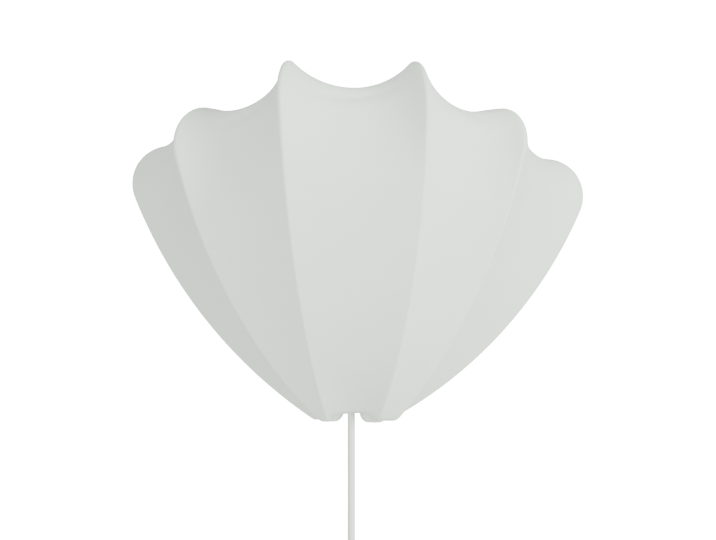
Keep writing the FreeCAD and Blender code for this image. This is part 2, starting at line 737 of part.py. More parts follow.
def dip_at(k, stretch, share):
    """Radius, centre and way out of the dip in gore k, between ribs k and k + 1."""
    a, out_a, _ = rib_station(k, stretch, share)
    b, out_b, _ = rib_station(k + 1, stretch, share)
    radius = max(dip_radius(GORE_DIPS[k], stretch + share), (b - a).Length * LEAST_DIP)
    centre, out = dip_centre(a, b, out_a, out_b, radius)
    return radius, centre, out


def parting(k, stretch, share):
    """Which way from rib k its two gores part, and the normal of their parting plane to the right.

    They part in the middle of the fabric's wrap round the wire, and an outer
    gore parts from its hem behind the wire.
    """
    hub, out, along = rib_station(k, stretch, share)
    if k in (0, len(ribs) - 1):
        split = out * math.cos(HEM_START) + V(0, 1, 0) * math.sin(HEM_START)
    else:
        left = dip_at(k - 1, stretch, share)[1]
        right = dip_at(k, stretch, share)[1]
        split = ((left - hub).normalize() + (right - hub).normalize()).normalize()
    return split, along.cross(split).normalize()


def gore(k):
    """Gore k: a loft through its sections from the foot, up the flank and back over the roof."""
    sections = []
    for stretch, share in STATIONS:
        a = rib_station(k, stretch, share)[0]
        b = rib_station(k + 1, stretch, share)[0]
        radius, centre, out = dip_at(k, stretch, share)
        sections.append(dip_section(a, b, parting(k, stretch, share), parting(k + 1, stretch, share),
                                    centre, out, radius))
    return Part.makeLoft(sections, True, False)


def hem(rib):
    """The hem behind an outer rib: round the wire's back, then a flat tail inwards."""
    marks = rib.marks()
    first = marks[1]
    last = marks[4] - HEM_TAIL
    point, turn = rib.at(first)
    hub = rib.world(point)
    out = rib.outward(turn)
    back = V(0, 1, 0)
    start = HEM_START + GORE_GAP / 2 / (crest - FABRIC_T)
    rim = out * math.cos(start) + back * math.sin(start)
    middle = (rim + back).normalize()
    inside = crest - FABRIC_T
    edges = [
        arc(hub + rim * crest, hub + middle * crest, hub + back * crest),
        line(hub + back * crest, hub + back * crest - out * HEM_TAIL),
        line(hub + back * crest - out * HEM_TAIL, hub + back * inside - out * HEM_TAIL),
        line(hub + back * inside - out * HEM_TAIL, hub + back * inside),
        arc(hub + back * inside, hub + middle * inside, hub + rim * inside),
        line(hub + rim * inside, hub + rim * crest),
    ]
    path = Part.Wire(rib.edges(first, last))
    return path.makePipeShell([Part.Wire(edges)], True, False)


def wall_bumpers():
    """Round rubber feet on the hem, which keep the outer ribs off the wall."""
    thick = -(spine_y + crest) - SEAT
    pads = []
    for rib in (ribs[0], ribs[-1]):
        marks = rib.marks()
        for share in (0.35, 1.0):
            point, turn = rib.at(marks[1] + (marks[2] - marks[1]) * share)
            hub = rib.world(point) - rib.outward(turn) * (HEM_TAIL / 2)
            pads.append(cylinder(BUMPER_D, thick, V(hub.x, -thick, hub.z), V(0, 1, 0)))
    return Part.makeCompound(pads)


# ---- lead and in-line switch ---------------------------------------------
switch_top = outlet_z - LEAD_DROP - SWITCH_RELIEF_L
switch_bottom = switch_top - SWITCH_L
switch_front = cord_y - SWITCH_T / 2
pivot_y = switch_front + ROCKER_PIVOT_IN
switch_mid = (switch_top + switch_bottom) / 2


def cord_lead():
    """The free stretch that hangs from the outlet to the switch."""
    return tube([line(V(CORD_X, cord_y, outlet_z), V(CORD_X, cord_y, switch_top))], CORD_D)


def rounded_block(width, length, y0, y1, corner):
    """A block with its upright edges rounded in the X-Z outline."""
    body = box(CORD_X - width / 2, CORD_X + width / 2, y0, y1,
               switch_mid - length / 2, switch_mid + length / 2)
    edges = [e for e in body.Edges if abs(e.tangentAt(e.FirstParameter).y) > 0.99]
    return body.makeFillet(corner, edges)


def half_shell(y_face, y_split):
    """One half of the switch's housing, hollow and open at the split."""
    y0 = min(y_face, y_split)
    y1 = max(y_face, y_split)
    body = rounded_block(SWITCH_W, SWITCH_L, y0, y1, SWITCH_CORNER_R)
    rim = [e for e in body.Edges if abs(e.CenterOfMass.y - y_face) < 0.01]
    body = body.makeFillet(SWITCH_WALL, rim)
    inward = SWITCH_WALL if y_face < y_split else -SWITCH_WALL
    lo = min(y_face + inward, y_split)
    hi = max(y_face + inward, y_split)
    hollow = rounded_block(SWITCH_W - 2 * SWITCH_WALL, SWITCH_L - 2 * SWITCH_WALL, lo, hi,
                           SWITCH_CORNER_R - SWITCH_WALL)
    passage = cylinder(CORD_D + 2 * SEAT, SWITCH_L, V(CORD_X, cord_y, switch_bottom))
    return body.cut(hollow).cut(passage)


def screw_places():
    inset = SWITCH_L / 2 - SWITCH_SCREW_INSET
    side = SWITCH_W / 2 - SWITCH_SCREW_INSET
    return [(CORD_X + s * side, switch_mid + s * inset) for s in (-1, 1)]


def switch_front_shell():
    shell = half_shell(switch_front, cord_y - SEAT / 2)
    window = box(CORD_X - ROCKER_W / 2 - SLIDE, CORD_X + ROCKER_W / 2 + SLIDE, switch_front - 1,
                 switch_front + SWITCH_WALL, switch_mid - ROCKER_R - SLIDE, switch_mid + ROCKER_R + SLIDE)
    shell = shell.cut(window)
    depth = cord_y - SEAT / 2 - switch_front
    for x, z in screw_places():
        boss = cylinder(2 * SWITCH_SCREW_D, depth - SWITCH_WALL / 2, V(x, switch_front + SWITCH_WALL / 2, z),
                        V(0, 1, 0))
        bore = cylinder(SWITCH_SCREW_D + 2 * SEAT, depth - SWITCH_WALL,
                        V(x, switch_front + SWITCH_WALL, z), V(0, 1, 0))
        shell = shell.fuse(boss).cut(bore)
    ear_y = pivot_y - PIVOT_D
    for s in (-1, 1):
        inner = CORD_X + s * (ROCKER_W / 2 + SLIDE)
        outer = inner + s * 2
        ear = box(min(inner, outer), max(inner, outer), switch_front + SWITCH_WALL / 2, ear_y + 2 * PIVOT_D,
                  switch_mid - PIVOT_D, switch_mid + PIVOT_D)
        shell = shell.fuse(ear)
    pin_room = cylinder(PIVOT_D + 2 * SEAT, ROCKER_W + 2 * PIVOT_ROOM,
                        V(CORD_X - ROCKER_W / 2 - PIVOT_ROOM, pivot_y, switch_mid), V(1, 0, 0))
    return shell.cut(pin_room)


def switch_back_shell():
    back = cord_y + SWITCH_T / 2
    shell = half_shell(back, cord_y + SEAT / 2)
    for x, z in screw_places():
        hole = cylinder(SWITCH_SCREW_D + 2 * SEAT, SWITCH_T, V(x, cord_y, z), V(0, 1, 0))
        sink = cylinder(SWITCH_SCREW_HEAD_D + 2 * SEAT, SWITCH_SCREW_HEAD_H,
                        V(x, back - SWITCH_SCREW_HEAD_H, z), V(0, 1, 0))
        shell = shell.cut(hole).cut(sink)
    return shell


def switch_screws():
    back = cord_y + SWITCH_T / 2
    screws = []
    for x, z in screw_places():
        tip = switch_front + SWITCH_WALL + 2 * SEAT
        seat = back - SWITCH_SCREW_HEAD_H
        shank = cylinder(SWITCH_SCREW_D, seat - tip, V(x, tip, z), V(0, 1, 0))
        head = cylinder(SWITCH_SCREW_HEAD_D, SWITCH_SCREW_HEAD_H - SEAT, V(x, seat, z), V(0, 1, 0))
        screws.append(shank.fuse(head))
    return Part.makeCompound(screws)


def switch_rocker():
    """The rocker: ends round about its pivot, a shallow V on top, tilted to off."""
    disc = cylinder(2 * ROCKER_R, ROCKER_W, V(CORD_X - ROCKER_W / 2, pivot_y, switch_mid), V(1, 0, 0))
    tilt = math.radians(ROCKER_TILT)
    middle = switch_front - ROCKER_PROUD
    far = 2 * ROCKER_R
    lift = far * math.tan(tilt)
    x = CORD_X - ROCKER_W / 2 - 1
    top = Part.Face(Part.makePolygon([
        V(x, middle, switch_mid), V(x, middle - lift, switch_mid + far),
        V(x, pivot_y - 3 * ROCKER_R, switch_mid + far), V(x, pivot_y - 3 * ROCKER_R, switch_mid - far),
        V(x, middle - lift, switch_mid - far), V(x, middle, switch_mid)]))
    body = disc.cut(top.extrude(V(ROCKER_W + 2, 0, 0)))
    for s in (-1, 1):
        a = switch_mid + s * ROCKER_WEB
        b = switch_mid + s * far
        body = body.cut(box(x, x + ROCKER_W + 2, pivot_y, pivot_y + far, min(a, b), max(a, b)))
    body = body.cut(box(x, x + ROCKER_W + 2, pivot_y + ROCKER_BELOW, pivot_y + far,
                        switch_mid - far, switch_mid + far))
    bore = cylinder(PIVOT_D + 0.1, ROCKER_W, V(CORD_X - ROCKER_W / 2, pivot_y, switch_mid), V(1, 0, 0))
    body = body.cut(bore)
    body.rotate(V(CORD_X, pivot_y, switch_mid), V(1, 0, 0), -ROCKER_TILT)
    return body


def switch_pivot():
    length = ROCKER_W + 2 * SLIDE + 3.6
    return cylinder(PIVOT_D, length, V(CORD_X - length / 2, pivot_y, switch_mid), V(1, 0, 0))


def switch_terminals():
    """Two brass blocks on the back shell's floor, where the cut wires end."""
    floor = cord_y + SWITCH_T / 2 - SWITCH_WALL - SEAT
    blocks = []
    for s in (-1, 1):
        z = switch_mid + s * SWITCH_L / 5
        blocks.append(box(CORD_X - TERMINAL_W / 2, CORD_X + TERMINAL_W / 2, floor - TERMINAL_W, floor,
                          z - TERMINAL_W / 2, z + TERMINAL_W / 2))
    return Part.makeCompound(blocks)


def switch_upper_relief():
    sleeve = cone(RELIEF_TOP_D, RELIEF_END_D, SWITCH_RELIEF_L, V(CORD_X, cord_y, switch_top + SEAT))
    return sleeve.cut(cylinder(CORD_D + 2 * SEAT, SWITCH_RELIEF_L + 1, V(CORD_X, cord_y, switch_top)))


def switch_lower_relief():
    return relief(switch_bottom - SEAT, SWITCH_RELIEF_L, RELIEF_TOP_D, RELIEF_END_D, CORD_X, cord_y,
                  CORD_D + 2 * SEAT)


# ---- coil ----------------------------------------------------------------
step = (CORD_D + COIL_GAP) / 2        # how much the radius changes each half turn
layer = CORD_D + COIL_GAP
join = math.radians(COIL_JOIN)
outer_r = COIL_INNER_R + COIL_BACK_HALVES * step
drop_end = switch_bottom - SEAT - SWITCH_RELIEF_L - DROP_RUN
bend = math.pi - join                 # how far the lead turns aside to meet the coil
bend_end = V(CORD_X - DROP_BEND_R * (1 - math.cos(bend)), cord_y, drop_end - DROP_BEND_R * math.sin(bend))
aside = V(-math.sin(bend), 0, -math.cos(bend))
join_at = bend_end + aside * CORD_D
upper_hub = join_at - V(outer_r * math.cos(join), 0, outer_r * math.sin(join))
coil_z = upper_hub.z


def turn_edge(hub_x, y, radius, a0, a1):
    """Part of a turn, from one angle to another about a hub."""
    points = [V(hub_x + radius * math.cos(a), y, coil_z + radius * math.sin(a))
              for a in (a0, (a0 + a1) / 2, a1)]
    return arc(*points)


def coil_path():
    """Half turns whose hubs swap sides, in on the back layer and out on the front one."""
    x = upper_hub.x
    y = cord_y
    edges = [line(bend_end, join_at), turn_edge(x, y, outer_r, join, math.pi)]
    for k in range(COIL_BACK_HALVES - 1, 0, -1):
        upper = (COIL_BACK_HALVES - k) % 2 == 0
        a0 = 0 if upper else math.pi
        edges.append(turn_edge(x if upper else x - step, y, COIL_INNER_R + k * step, a0, a0 + math.pi))
    start = V(x + COIL_INNER_R, y, coil_z)
    end = V(x - COIL_INNER_R, y - layer, coil_z)
    top = (start + end) * 0.5 + V(0, 0, (end - start).Length / 2)
    edges.append(arc(start, top, end))
    y -= layer
    for k in range(1, COIL_FRONT_HALVES + 1):
        upper = k % 2 == 0
        a0 = 0 if upper else math.pi
        edges.append(turn_edge(x if upper else x + step, y, COIL_INNER_R + k * step, a0, a0 + math.pi))
    last = V(x + step + COIL_INNER_R + COIL_FRONT_HALVES * step, y, coil_z)
    edges.append(line(last, last + V(0, 0, CORD_D)))
    return edges


def cord_drop():
    """From the switch down and aside to the coil."""
    half = bend / 2
    middle = V(CORD_X - DROP_BEND_R * (1 - math.cos(half)), cord_y, drop_end - DROP_BEND_R * math.sin(half))
    start = V(CORD_X, cord_y, drop_end)
    return tube([line(V(CORD_X, cord_y, switch_bottom), start), arc(start, middle, bend_end)], CORD_D)


def cord_coil():
    return tube(coil_path(), CORD_D)


coil_end = V(upper_hub.x + step + COIL_INNER_R + COIL_FRONT_HALVES * step, cord_y - layer, coil_z + CORD_D)
plug_y = coil_end.y - (CORD_D + PLUG_T) / 2 - PLUG_GAP
loop_start = coil_end + V(0, 0, TAIL_RISE - CORD_D)
loop_back = plug_y - coil_end.y
loop_across = math.sqrt((2 * TAIL_LOOP_R) ** 2 - loop_back ** 2)
loop_end = loop_start + V(-loop_across, loop_back, 0)
plug_x = loop_end.x
plug_relief_z = loop_end.z - CORD_D
plug_z = plug_relief_z - PLUG_RELIEF_L - SEAT


def cord_tail():
    """From the coil up, over in a half loop and down to the plug."""
    middle = (loop_start + loop_end) * 0.5 + V(0, 0, TAIL_LOOP_R)
    bend = arc(loop_start, middle, loop_end)
    return tube([line(coil_end, loop_start), bend, line(loop_end, V(plug_x, plug_y, plug_z))], CORD_D)


def coil_tie():
    """A flat tie closed round the turns at the top of the coil."""
    z0 = coil_z + COIL_INNER_R - CORD_D / 2 - SEAT - TIE_W * TIE_W / (8 * COIL_INNER_R)
    turns_here = COIL_BACK_HALVES - 2
    z1 = coil_z + COIL_INNER_R + turns_here * step + CORD_D / 2 + SEAT
    y0 = cord_y - layer - CORD_D / 2 - SEAT
    y1 = cord_y + CORD_D / 2 + SEAT
    x = upper_hub.x
    outer = box(x - TIE_W / 2, x + TIE_W / 2, y0 - TIE_T, y1 + TIE_T, z0 - TIE_T, z1 + TIE_T)
    along = [e for e in outer.Edges if abs(e.tangentAt(e.FirstParameter).x) > 0.99]
    outer = outer.makeFillet(CORD_D / 2, along)
    inner = box(x - TIE_W / 2, x + TIE_W / 2, y0, y1, z0, z1)
    along = [e for e in inner.Edges if abs(e.tangentAt(e.FirstParameter).x) > 0.99]
    return outer.cut(inner.makeFillet(CORD_D / 2 - TIE_T, along))


# ---- plug ----------------------------------------------------------------
def plug_body():
    """A flat two-pin plug, widest behind its face and narrow at the lead."""
    half = [(PLUG_NECK_W / 2, 0), (PLUG_W / 2, PLUG_L - PLUG_WIDEST), (PLUG_FACE_W / 2, PLUG_L)]
    outline = [(x, z) for x, z in half] + [(-x, z) for x, z in half[::-1]]
    points = [V(plug_x + x, plug_y - PLUG_T / 2, plug_z - z) for x, z in outline]
    body = Part.Face(Part.makePolygon(points + points[:1])).extrude(V(0, PLUG_T, 0))
    body = body.makeFillet(PLUG_EDGE_R, body.Edges)
    for s in (-1, 1):
        base = V(plug_x + s * PIN_SPACING / 2, plug_y, plug_z - PLUG_L)
        body = body.cut(cylinder(PIN_D + 2 * SEAT, PIN_L / 2, base))
    return body


def plug_pins():
    pins = []
    for s in (-1, 1):
        centre = V(plug_x + s * PIN_SPACING / 2, plug_y, plug_z - PLUG_L - PIN_L + PIN_D / 2)
        shank = cylinder(PIN_D, PIN_L * 1.5 - SEAT - PIN_D / 2, centre)
        pins.append(shank.fuse(Part.makeSphere(PIN_D / 2, centre)).removeSplitter())
    return Part.makeCompound(pins)


def plug_relief():
    return relief(plug_relief_z, PLUG_RELIEF_L, RELIEF_END_D, RELIEF_TOP_D, plug_x, plug_y,
                  CORD_D + 2 * SEAT)


def spline_gap():
    """The coil's least gap to itself, on points along its path."""
    points = []
    for edge in coil_path():
        count = max(2, int(edge.Length / 2.0))
        points += edge.discretize(Number=count)[:-1]
    travelled = [0.0]
    for a, b in zip(points, points[1:]):
        travelled.append(travelled[-1] + (b - a).Length)
    least = 1e9
    for i, a in enumerate(points):
        for j in range(i + 1, len(points)):
            if travelled[j] - travelled[i] > 4 * CORD_D:
                least = min(least, (points[j] - a).Length - CORD_D)
    return least


def main():
    os.makedirs("parts", exist_ok=True)
    nodes = {rib.name: rib_wire(rib) for rib in ribs}
    for side in ("left", "right"):
        nodes["spine_" + side] = spine(side)
        nodes["foot_block_" + side] = foot_block(side)
        nodes["head_block_" + side] = head_block(side)
    nodes.update({
        "hanger_strip": hanger_strip(),
        "lamp_strip": lamp_strip(),
        "cord_strip": cord_strip(),
        "lamp_bracket": lamp_bracket(),
        "bracket_screws": bracket_screws(),
        "nipple": nipple(),
        "nipple_nut": nipple_nut(),
        "cord_grip": cord_grip(),
        "holder_cap": holder_cap(),
        "holder_shell": holder_shell(),
        "holder_core": holder_core(),
        "terminal_screws": terminal_screws(),
        "screw_shell": screw_shell(),
        "centre_contact": centre_contact(),
        "bulb_tip": bulb_tip(),
        "bulb_cap": bulb_cap(),
        "bulb_collar": bulb_collar(),
        "bulb_glass": bulb_glass(),
        "inner_lead": inner_lead(),
        "outlet_bush": outlet_bush(),
        "outlet_relief": outlet_relief(),
        "gore_outer_left": gore(0),
        "gore_inner_left": gore(1),
        "gore_centre": gore(2),
        "gore_inner_right": gore(3),
        "gore_outer_right": gore(4),
        "hem_left": hem(ribs[0]),
        "hem_right": hem(ribs[5]),
        "wall_bumpers": wall_bumpers(),
        "cord_lead": cord_lead(),
        "switch_upper_relief": switch_upper_relief(),
        "switch_front_shell": switch_front_shell(),
        "switch_back_shell": switch_back_shell(),
        "switch_screws": switch_screws(),
        "switch_terminals": switch_terminals(),
        "switch_pivot": switch_pivot(),
        "switch_rocker": switch_rocker(),
        "switch_lower_relief": switch_lower_relief(),
        "cord_drop": cord_drop(),
        "cord_coil": cord_coil(),
        "coil_tie": coil_tie(),
        "cord_tail": cord_tail(),
        "plug_relief": plug_relief(),
        "plug_body": plug_body(),
        "plug_pins": plug_pins(),
    })
    for name, shape in nodes.items():
        shape.exportStep("parts/" + name + ".step")
        print(name, "valid" if shape.isValid() else "NOT VALID", len(shape.Solids), round(shape.Volume, 1))
    section = math.pi * CORD_D ** 2 / 4
    for name in ("inner_lead", "cord_lead", "cord_drop", "cord_coil", "cord_tail"):
        print(name, "length", round(nodes[name].Volume / section, 1))
    print("coil length along its path", round(sum(e.Length for e in coil_path()), 1))
    print("bend radii", DROP_BEND_R, COIL_INNER_R, TAIL_LOOP_R, INNER_BEND_R)
    print("least gap of the coil to itself", round(spline_gap(), 2))


main()
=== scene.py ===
"""Looks of a plug-in wall light whose fabric shade is half a scallop shell.

Run as a script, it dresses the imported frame: the fabric and the lead are new
pieces, and every other piece of the frame gets its own finish. X is to the
viewer's right, Y into the wall and Z up, in metres, from the point on the
wall midway between the hanger's keyholes.
"""
import math

import bmesh
import bpy
import numpy as np
from bpy.props import FloatProperty, FloatVectorProperty, PointerProperty
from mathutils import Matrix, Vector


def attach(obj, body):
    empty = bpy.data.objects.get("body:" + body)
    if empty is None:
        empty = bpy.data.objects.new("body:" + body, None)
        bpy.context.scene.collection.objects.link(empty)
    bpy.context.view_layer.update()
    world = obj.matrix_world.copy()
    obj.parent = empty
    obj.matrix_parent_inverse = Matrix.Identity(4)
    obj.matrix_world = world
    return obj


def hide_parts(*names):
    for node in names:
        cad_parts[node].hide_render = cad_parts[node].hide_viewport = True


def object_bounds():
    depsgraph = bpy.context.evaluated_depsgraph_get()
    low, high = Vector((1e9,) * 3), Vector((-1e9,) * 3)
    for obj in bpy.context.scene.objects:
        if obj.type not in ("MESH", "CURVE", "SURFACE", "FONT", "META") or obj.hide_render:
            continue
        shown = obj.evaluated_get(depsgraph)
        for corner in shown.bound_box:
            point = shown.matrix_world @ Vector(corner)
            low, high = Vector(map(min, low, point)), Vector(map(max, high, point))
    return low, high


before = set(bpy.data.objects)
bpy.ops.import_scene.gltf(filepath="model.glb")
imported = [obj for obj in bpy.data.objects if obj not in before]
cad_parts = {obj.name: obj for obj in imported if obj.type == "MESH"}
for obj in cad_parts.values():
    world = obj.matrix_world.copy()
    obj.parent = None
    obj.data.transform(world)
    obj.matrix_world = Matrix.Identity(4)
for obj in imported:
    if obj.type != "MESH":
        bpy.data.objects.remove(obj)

bl_info = {
    "name": "Shell wall light",
    "version": (1, 0, 0),
    "blender": (4, 5, 0),
    "location": "View3D > Sidebar > Shell light",
    "description": "Dresses a plug-in wall light with a stretched fabric shell shade",
    "category": "Object",
}

CAD_BOX = [list(corner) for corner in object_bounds()]
MM = 0.001


def hex_colour(code):
    """An sRGB hex value as linear red, green and blue."""
    parts = np.array([int(code[k:k + 2], 16) for k in (1, 3, 5)]) / 255
    linear = np.where(parts <= 0.04045, parts / 12.92, ((parts + 0.055) / 1.055) ** 2.4)
    return tuple(float(value) for value in linear)


# ---- sizes and colours a user would change --------------------------------
class ShellLightSizes(bpy.types.PropertyGroup):
    """Lengths in metres"""
    cord_diameter: FloatProperty(
        name="Lead diameter", description="Across the lead's sheath",
        default=6.8 * MM, unit="LENGTH")
    fabric_thickness: FloatProperty(
        name="Fabric thickness", description="Of the stretched jersey, single layer",
        default=0.8 * MM, unit="LENGTH")
    loop_spacing: FloatProperty(
        name="Knit spacing",
        description="Between two columns of the knit's loops, drawn coarser than real",
        default=1.4 * MM, unit="LENGTH")
    floor_reach: FloatProperty(
        name="Floor reach", description="From the middle of the square floor to its sides",
        default=1.5, unit="LENGTH")
    floor_below: FloatProperty(
        name="Floor gap", description="From the lowest piece down to the floor",
        default=0.05, unit="LENGTH")


class ShellLightColours(bpy.types.PropertyGroup):
    """Base colours, before each material varies its own a little"""
    jersey: FloatVectorProperty(
        name="Jersey", description="The shade's fabric",
        subtype="COLOR", size=3, default=hex_colour("#DDE6DA"))
    lead: FloatVectorProperty(
        name="Lead", description="The lead's sheath and strain reliefs",
        subtype="COLOR", size=3, default=hex_colour("#DFE3D8"))
    frame_paint: FloatVectorProperty(
        name="Frame paint", description="Powder coat on the bent wires and strips",
        subtype="COLOR", size=3, default=hex_colour("#E9E9E4"))
    moulding: FloatVectorProperty(
        name="Mouldings", description="Lampholder, switch and plug",
        subtype="COLOR", size=3, default=hex_colour("#ECEBE5"))


def sizes():
    """The lengths that the panel sets."""
    return bpy.context.scene.shell_light_sizes


def colours():
    """The colours that the panel sets."""
    return bpy.context.scene.shell_light_colours


# ---- meshes -------------------------------------------------------------------
def linked(name, data):
    """A new object in the scene for a mesh, curve, light or camera."""
    made = bpy.data.objects.new(name, data)
    bpy.context.scene.collection.objects.link(made)
    return made


def grid_mesh(name, points, uv=None):
    """A mesh of quads through a grid of points, rows by columns, facing along row x column."""
    rows, columns = points.shape[:2]
    index = np.arange(rows * columns).reshape(rows, columns)
    corners = [index[:-1, :-1], index[1:, :-1], index[1:, 1:], index[:-1, 1:]]
    quads = np.stack(corners, -1).reshape(-1, 4)
    mesh = bpy.data.meshes.new(name)
    mesh.from_pydata(points.reshape(-1, 3).tolist(), [], quads.tolist())
    if uv is not None:
        layer = mesh.uv_layers.new(name="cloth")
        layer.data.foreach_set("uv", uv.reshape(-1, 2)[quads.reshape(-1)].ravel())
    mesh.polygons.foreach_set("use_smooth", np.ones(len(quads), bool))
    mesh.update()
    return linked(name, mesh)


def nurbs_cord(name, route, diameter, material):
    """A round cord on one open NURBS spline with the route's points as control points."""
    data = bpy.data.curves.new(name, "CURVE")
    data.dimensions = "3D"
    data.bevel_depth = diameter / 2
    data.bevel_resolution = 5
    data.use_fill_caps = True
    spline = data.splines.new("NURBS")
    spline.points.add(len(route) - 1)
    flat = np.concatenate([np.asarray(route, float), np.ones((len(route), 1))], 1)
    spline.points.foreach_set("co", flat.ravel())
    spline.order_u = 3
    spline.use_endpoint_u = True
    spline.resolution_u = 6
    data.materials.append(material)
    return linked(name, data)


# ---- materials ----------------------------------------------------------------
# sockets of a Mix node set to colours, whose names repeat
MIX_FIRST, MIX_SECOND, MIX_RESULT = 6, 7, 2
WAVE_TURN = 20.0           # radians a wave texture turns in a metre, at a scale of 1
ROWS_CLOSER = 1.3          # rows of the knit's loops in the width of one column


def add(tree, kind, settings=(), values=(), links=()):
    """Adds one node: settings are its attributes, values its sockets', links what feeds them."""
    made = tree.nodes.new(kind)
    for name, value in dict(settings).items():
        setattr(made, name, value)
    for name, value in dict(values).items():
        made.inputs[name].default_value = value
    for name, source in dict(links).items():
        tree.links.new(source, made.inputs[name])
    return made


def started(name, colour, roughness, metallic=0.0, **sockets):
    """A material with a Principled shader, its tree and shader, and the Object coordinates."""
    material = bpy.data.materials.new(name)
    material.use_nodes = True
    tree = material.node_tree
    shader = tree.nodes["Principled BSDF"]
    shader.inputs["Base Color"].default_value = (*colour, 1)
    shader.inputs["Roughness"].default_value = roughness
    shader.inputs["Metallic"].default_value = metallic
    for socket, value in sockets.items():
        shader.inputs[socket.replace("_", " ")].default_value = value
    place = add(tree, "ShaderNodeTexCoord").outputs["Object"]
    return material, tree, shader, place


def bumped(tree, shader, height, depth, strength=1.0):
    """Joins a height pattern to the shader's normal, at a depth in metres."""
    bump = add(tree, "ShaderNodeBump", values={"Distance": depth, "Strength": strength},
               links={"Height": height})
    tree.links.new(bump.outputs["Normal"], shader.inputs["Normal"])


def tinted(tree, shader, colour, pattern, spread):
    """Varies the base colour by a share either side of it, with a 0 to 1 pattern."""
    low = [value * (1 - spread) for value in colour] + [1]
    high = [min(1.0, value * (1 + spread)) for value in colour] + [1]
    mix = add(tree, "ShaderNodeMix", {"data_type": "RGBA"}, links={"Factor": pattern})
    mix.inputs[MIX_FIRST].default_value = low
    mix.inputs[MIX_SECOND].default_value = high
    tree.links.new(mix.outputs[MIX_RESULT], shader.inputs["Base Color"])


def roughened(tree, shader, pattern, low, high):
    """Spreads the roughness between two values, with a 0 to 1 pattern."""
    spread = add(tree, "ShaderNodeMapRange", values={"To Min": low, "To Max": high},
                 links={"Value": pattern})
    tree.links.new(spread.outputs["Result"], shader.inputs["Roughness"])


def noise(tree, place, size, detail=2.0):
    """Noise with lumps about a size in metres across."""
    made = add(tree, "ShaderNodeTexNoise", values={"Scale": 1 / size, "Detail": detail},
               links={"Vector": place})
    return made.outputs["Fac"]


def polyester_jersey():
    """Knitted polyester jersey, brushed: dead matt, with a faint pile sheen and fine loops."""
    colour = colours().jersey
    material, tree, shader, place = started(
        "stretched_polyester_jersey", colour, 0.92, Sheen_Weight=0.22, Sheen_Roughness=0.5,
        IOR=1.5, Specular_IOR_Level=0.25)
    cloth = add(tree, "ShaderNodeUVMap", {"uv_map": "cloth"}).outputs["UV"]

    def ribbing(direction, scale):
        """Waves across the cloth in one of its two directions."""
        return add(tree, "ShaderNodeTexWave", {"bands_direction": direction},
                   {"Scale": scale, "Distortion": 0.4, "Detail": 1.0, "Detail Scale": 2.0},
                   {"Vector": cloth}).outputs["Fac"]

    # real columns are 0.6 mm apart: they are drawn coarser, so that they show at all
    scale = 1 / sizes().loop_spacing / WAVE_TURN * math.tau
    loops = add(tree, "ShaderNodeMath", {"operation": "MULTIPLY"},
                links={0: ribbing("X", scale), 1: ribbing("Y", scale * ROWS_CLOSER)})
    bumped(tree, shader, loops.outputs["Value"], 0.10 * MM, 0.5)
    # the dye takes a little unevenly over a hand's breadth
    tinted(tree, shader, colour, noise(tree, place, 60 * MM), 0.012)
    return material


def spun_thread():
    """Spun polyester sewing thread: matt, a shade warmer than the cloth, with a faint twist."""
    colour = hex_colour("#D3D4C8")
    material, tree, shader, place = started(
        "spun_polyester_thread", colour, 0.85, Sheen_Weight=0.15)
    twist = noise(tree, place, 0.5 * MM, 3.0)
    tinted(tree, shader, colour, twist, 0.08)
    bumped(tree, shader, twist, 0.05 * MM, 0.6)
    return material


def pvc_sheath():
    """Extruded PVC sheath: satin, with faint drag lines and a little handling dirt."""
    colour = colours().lead
    material, tree, shader, place = started("extruded_pvc_sheath", colour, 0.42, IOR=1.53)
    scuff = noise(tree, place, 9 * MM, 4.0)
    tinted(tree, shader, colour, scuff, 0.02)
    roughened(tree, shader, scuff, 0.36, 0.50)
    bumped(tree, shader, noise(tree, place, 1.5 * MM), 0.05 * MM, 0.4)
    return material


def soft_pvc():
    """Moulded soft PVC of strain reliefs and bushes: matt, faintly grained from its mould."""
    colour = colours().lead
    material, tree, shader, place = started("moulded_soft_pvc", colour, 0.55, IOR=1.53)
    grain = noise(tree, place, 0.8 * MM)
    tinted(tree, shader, colour, noise(tree, place, 12 * MM), 0.015)
    bumped(tree, shader, grain, 0.04 * MM, 0.5)
    return material


def powder_coat():
    """Powder-coated steel: baked paint with the slight orange peel of melted powder."""
    colour = colours().frame_paint
    material, tree, shader, place = started("powder_coated_steel", colour, 0.40, IOR=1.5)
    peel = noise(tree, place, 1.6 * MM)
    roughened(tree, shader, noise(tree, place, 15 * MM), 0.34, 0.48)
    tinted(tree, shader, colour, noise(tree, place, 25 * MM), 0.015)
    bumped(tree, shader, peel, 0.06 * MM, 0.6)
    return material


def zinc_plate():
    """Zinc-plated steel screws: a cool grey metal with a patchy, faintly crystalline film."""
    colour = hex_colour("#B9BCBD")
    material, tree, shader, place = started("zinc_plated_steel", colour, 0.35, metallic=1.0)
    film = noise(tree, place, 2.0 * MM, 3.0)
    roughened(tree, shader, film, 0.26, 0.44)
    tinted(tree, shader, colour, film, 0.06)
    return material


def stamped_brass():
    """Stamped brass: yellow metal, drawn along its length and a little dulled by air."""
    colour = hex_colour("#D9B872")
    material, tree, shader, place = started("stamped_brass", colour, 0.30, metallic=1.0)
    dull = noise(tree, place, 3.0 * MM, 3.0)
    roughened(tree, shader, dull, 0.22, 0.40)
    tinted(tree, shader, colour, dull, 0.08)
    return material


def nickel_plate():
    """Nickel-plated brass of the bulb's cap and the plug's pins: bright, warm grey, wiped."""
    colour = hex_colour("#C9C5BD")
    material, tree, shader, place = started("nickel_plated_brass", colour, 0.20, metallic=1.0)
    wiped = noise(tree, place, 2.5 * MM, 3.0)
    roughened(tree, shader, wiped, 0.14, 0.28)
    return material


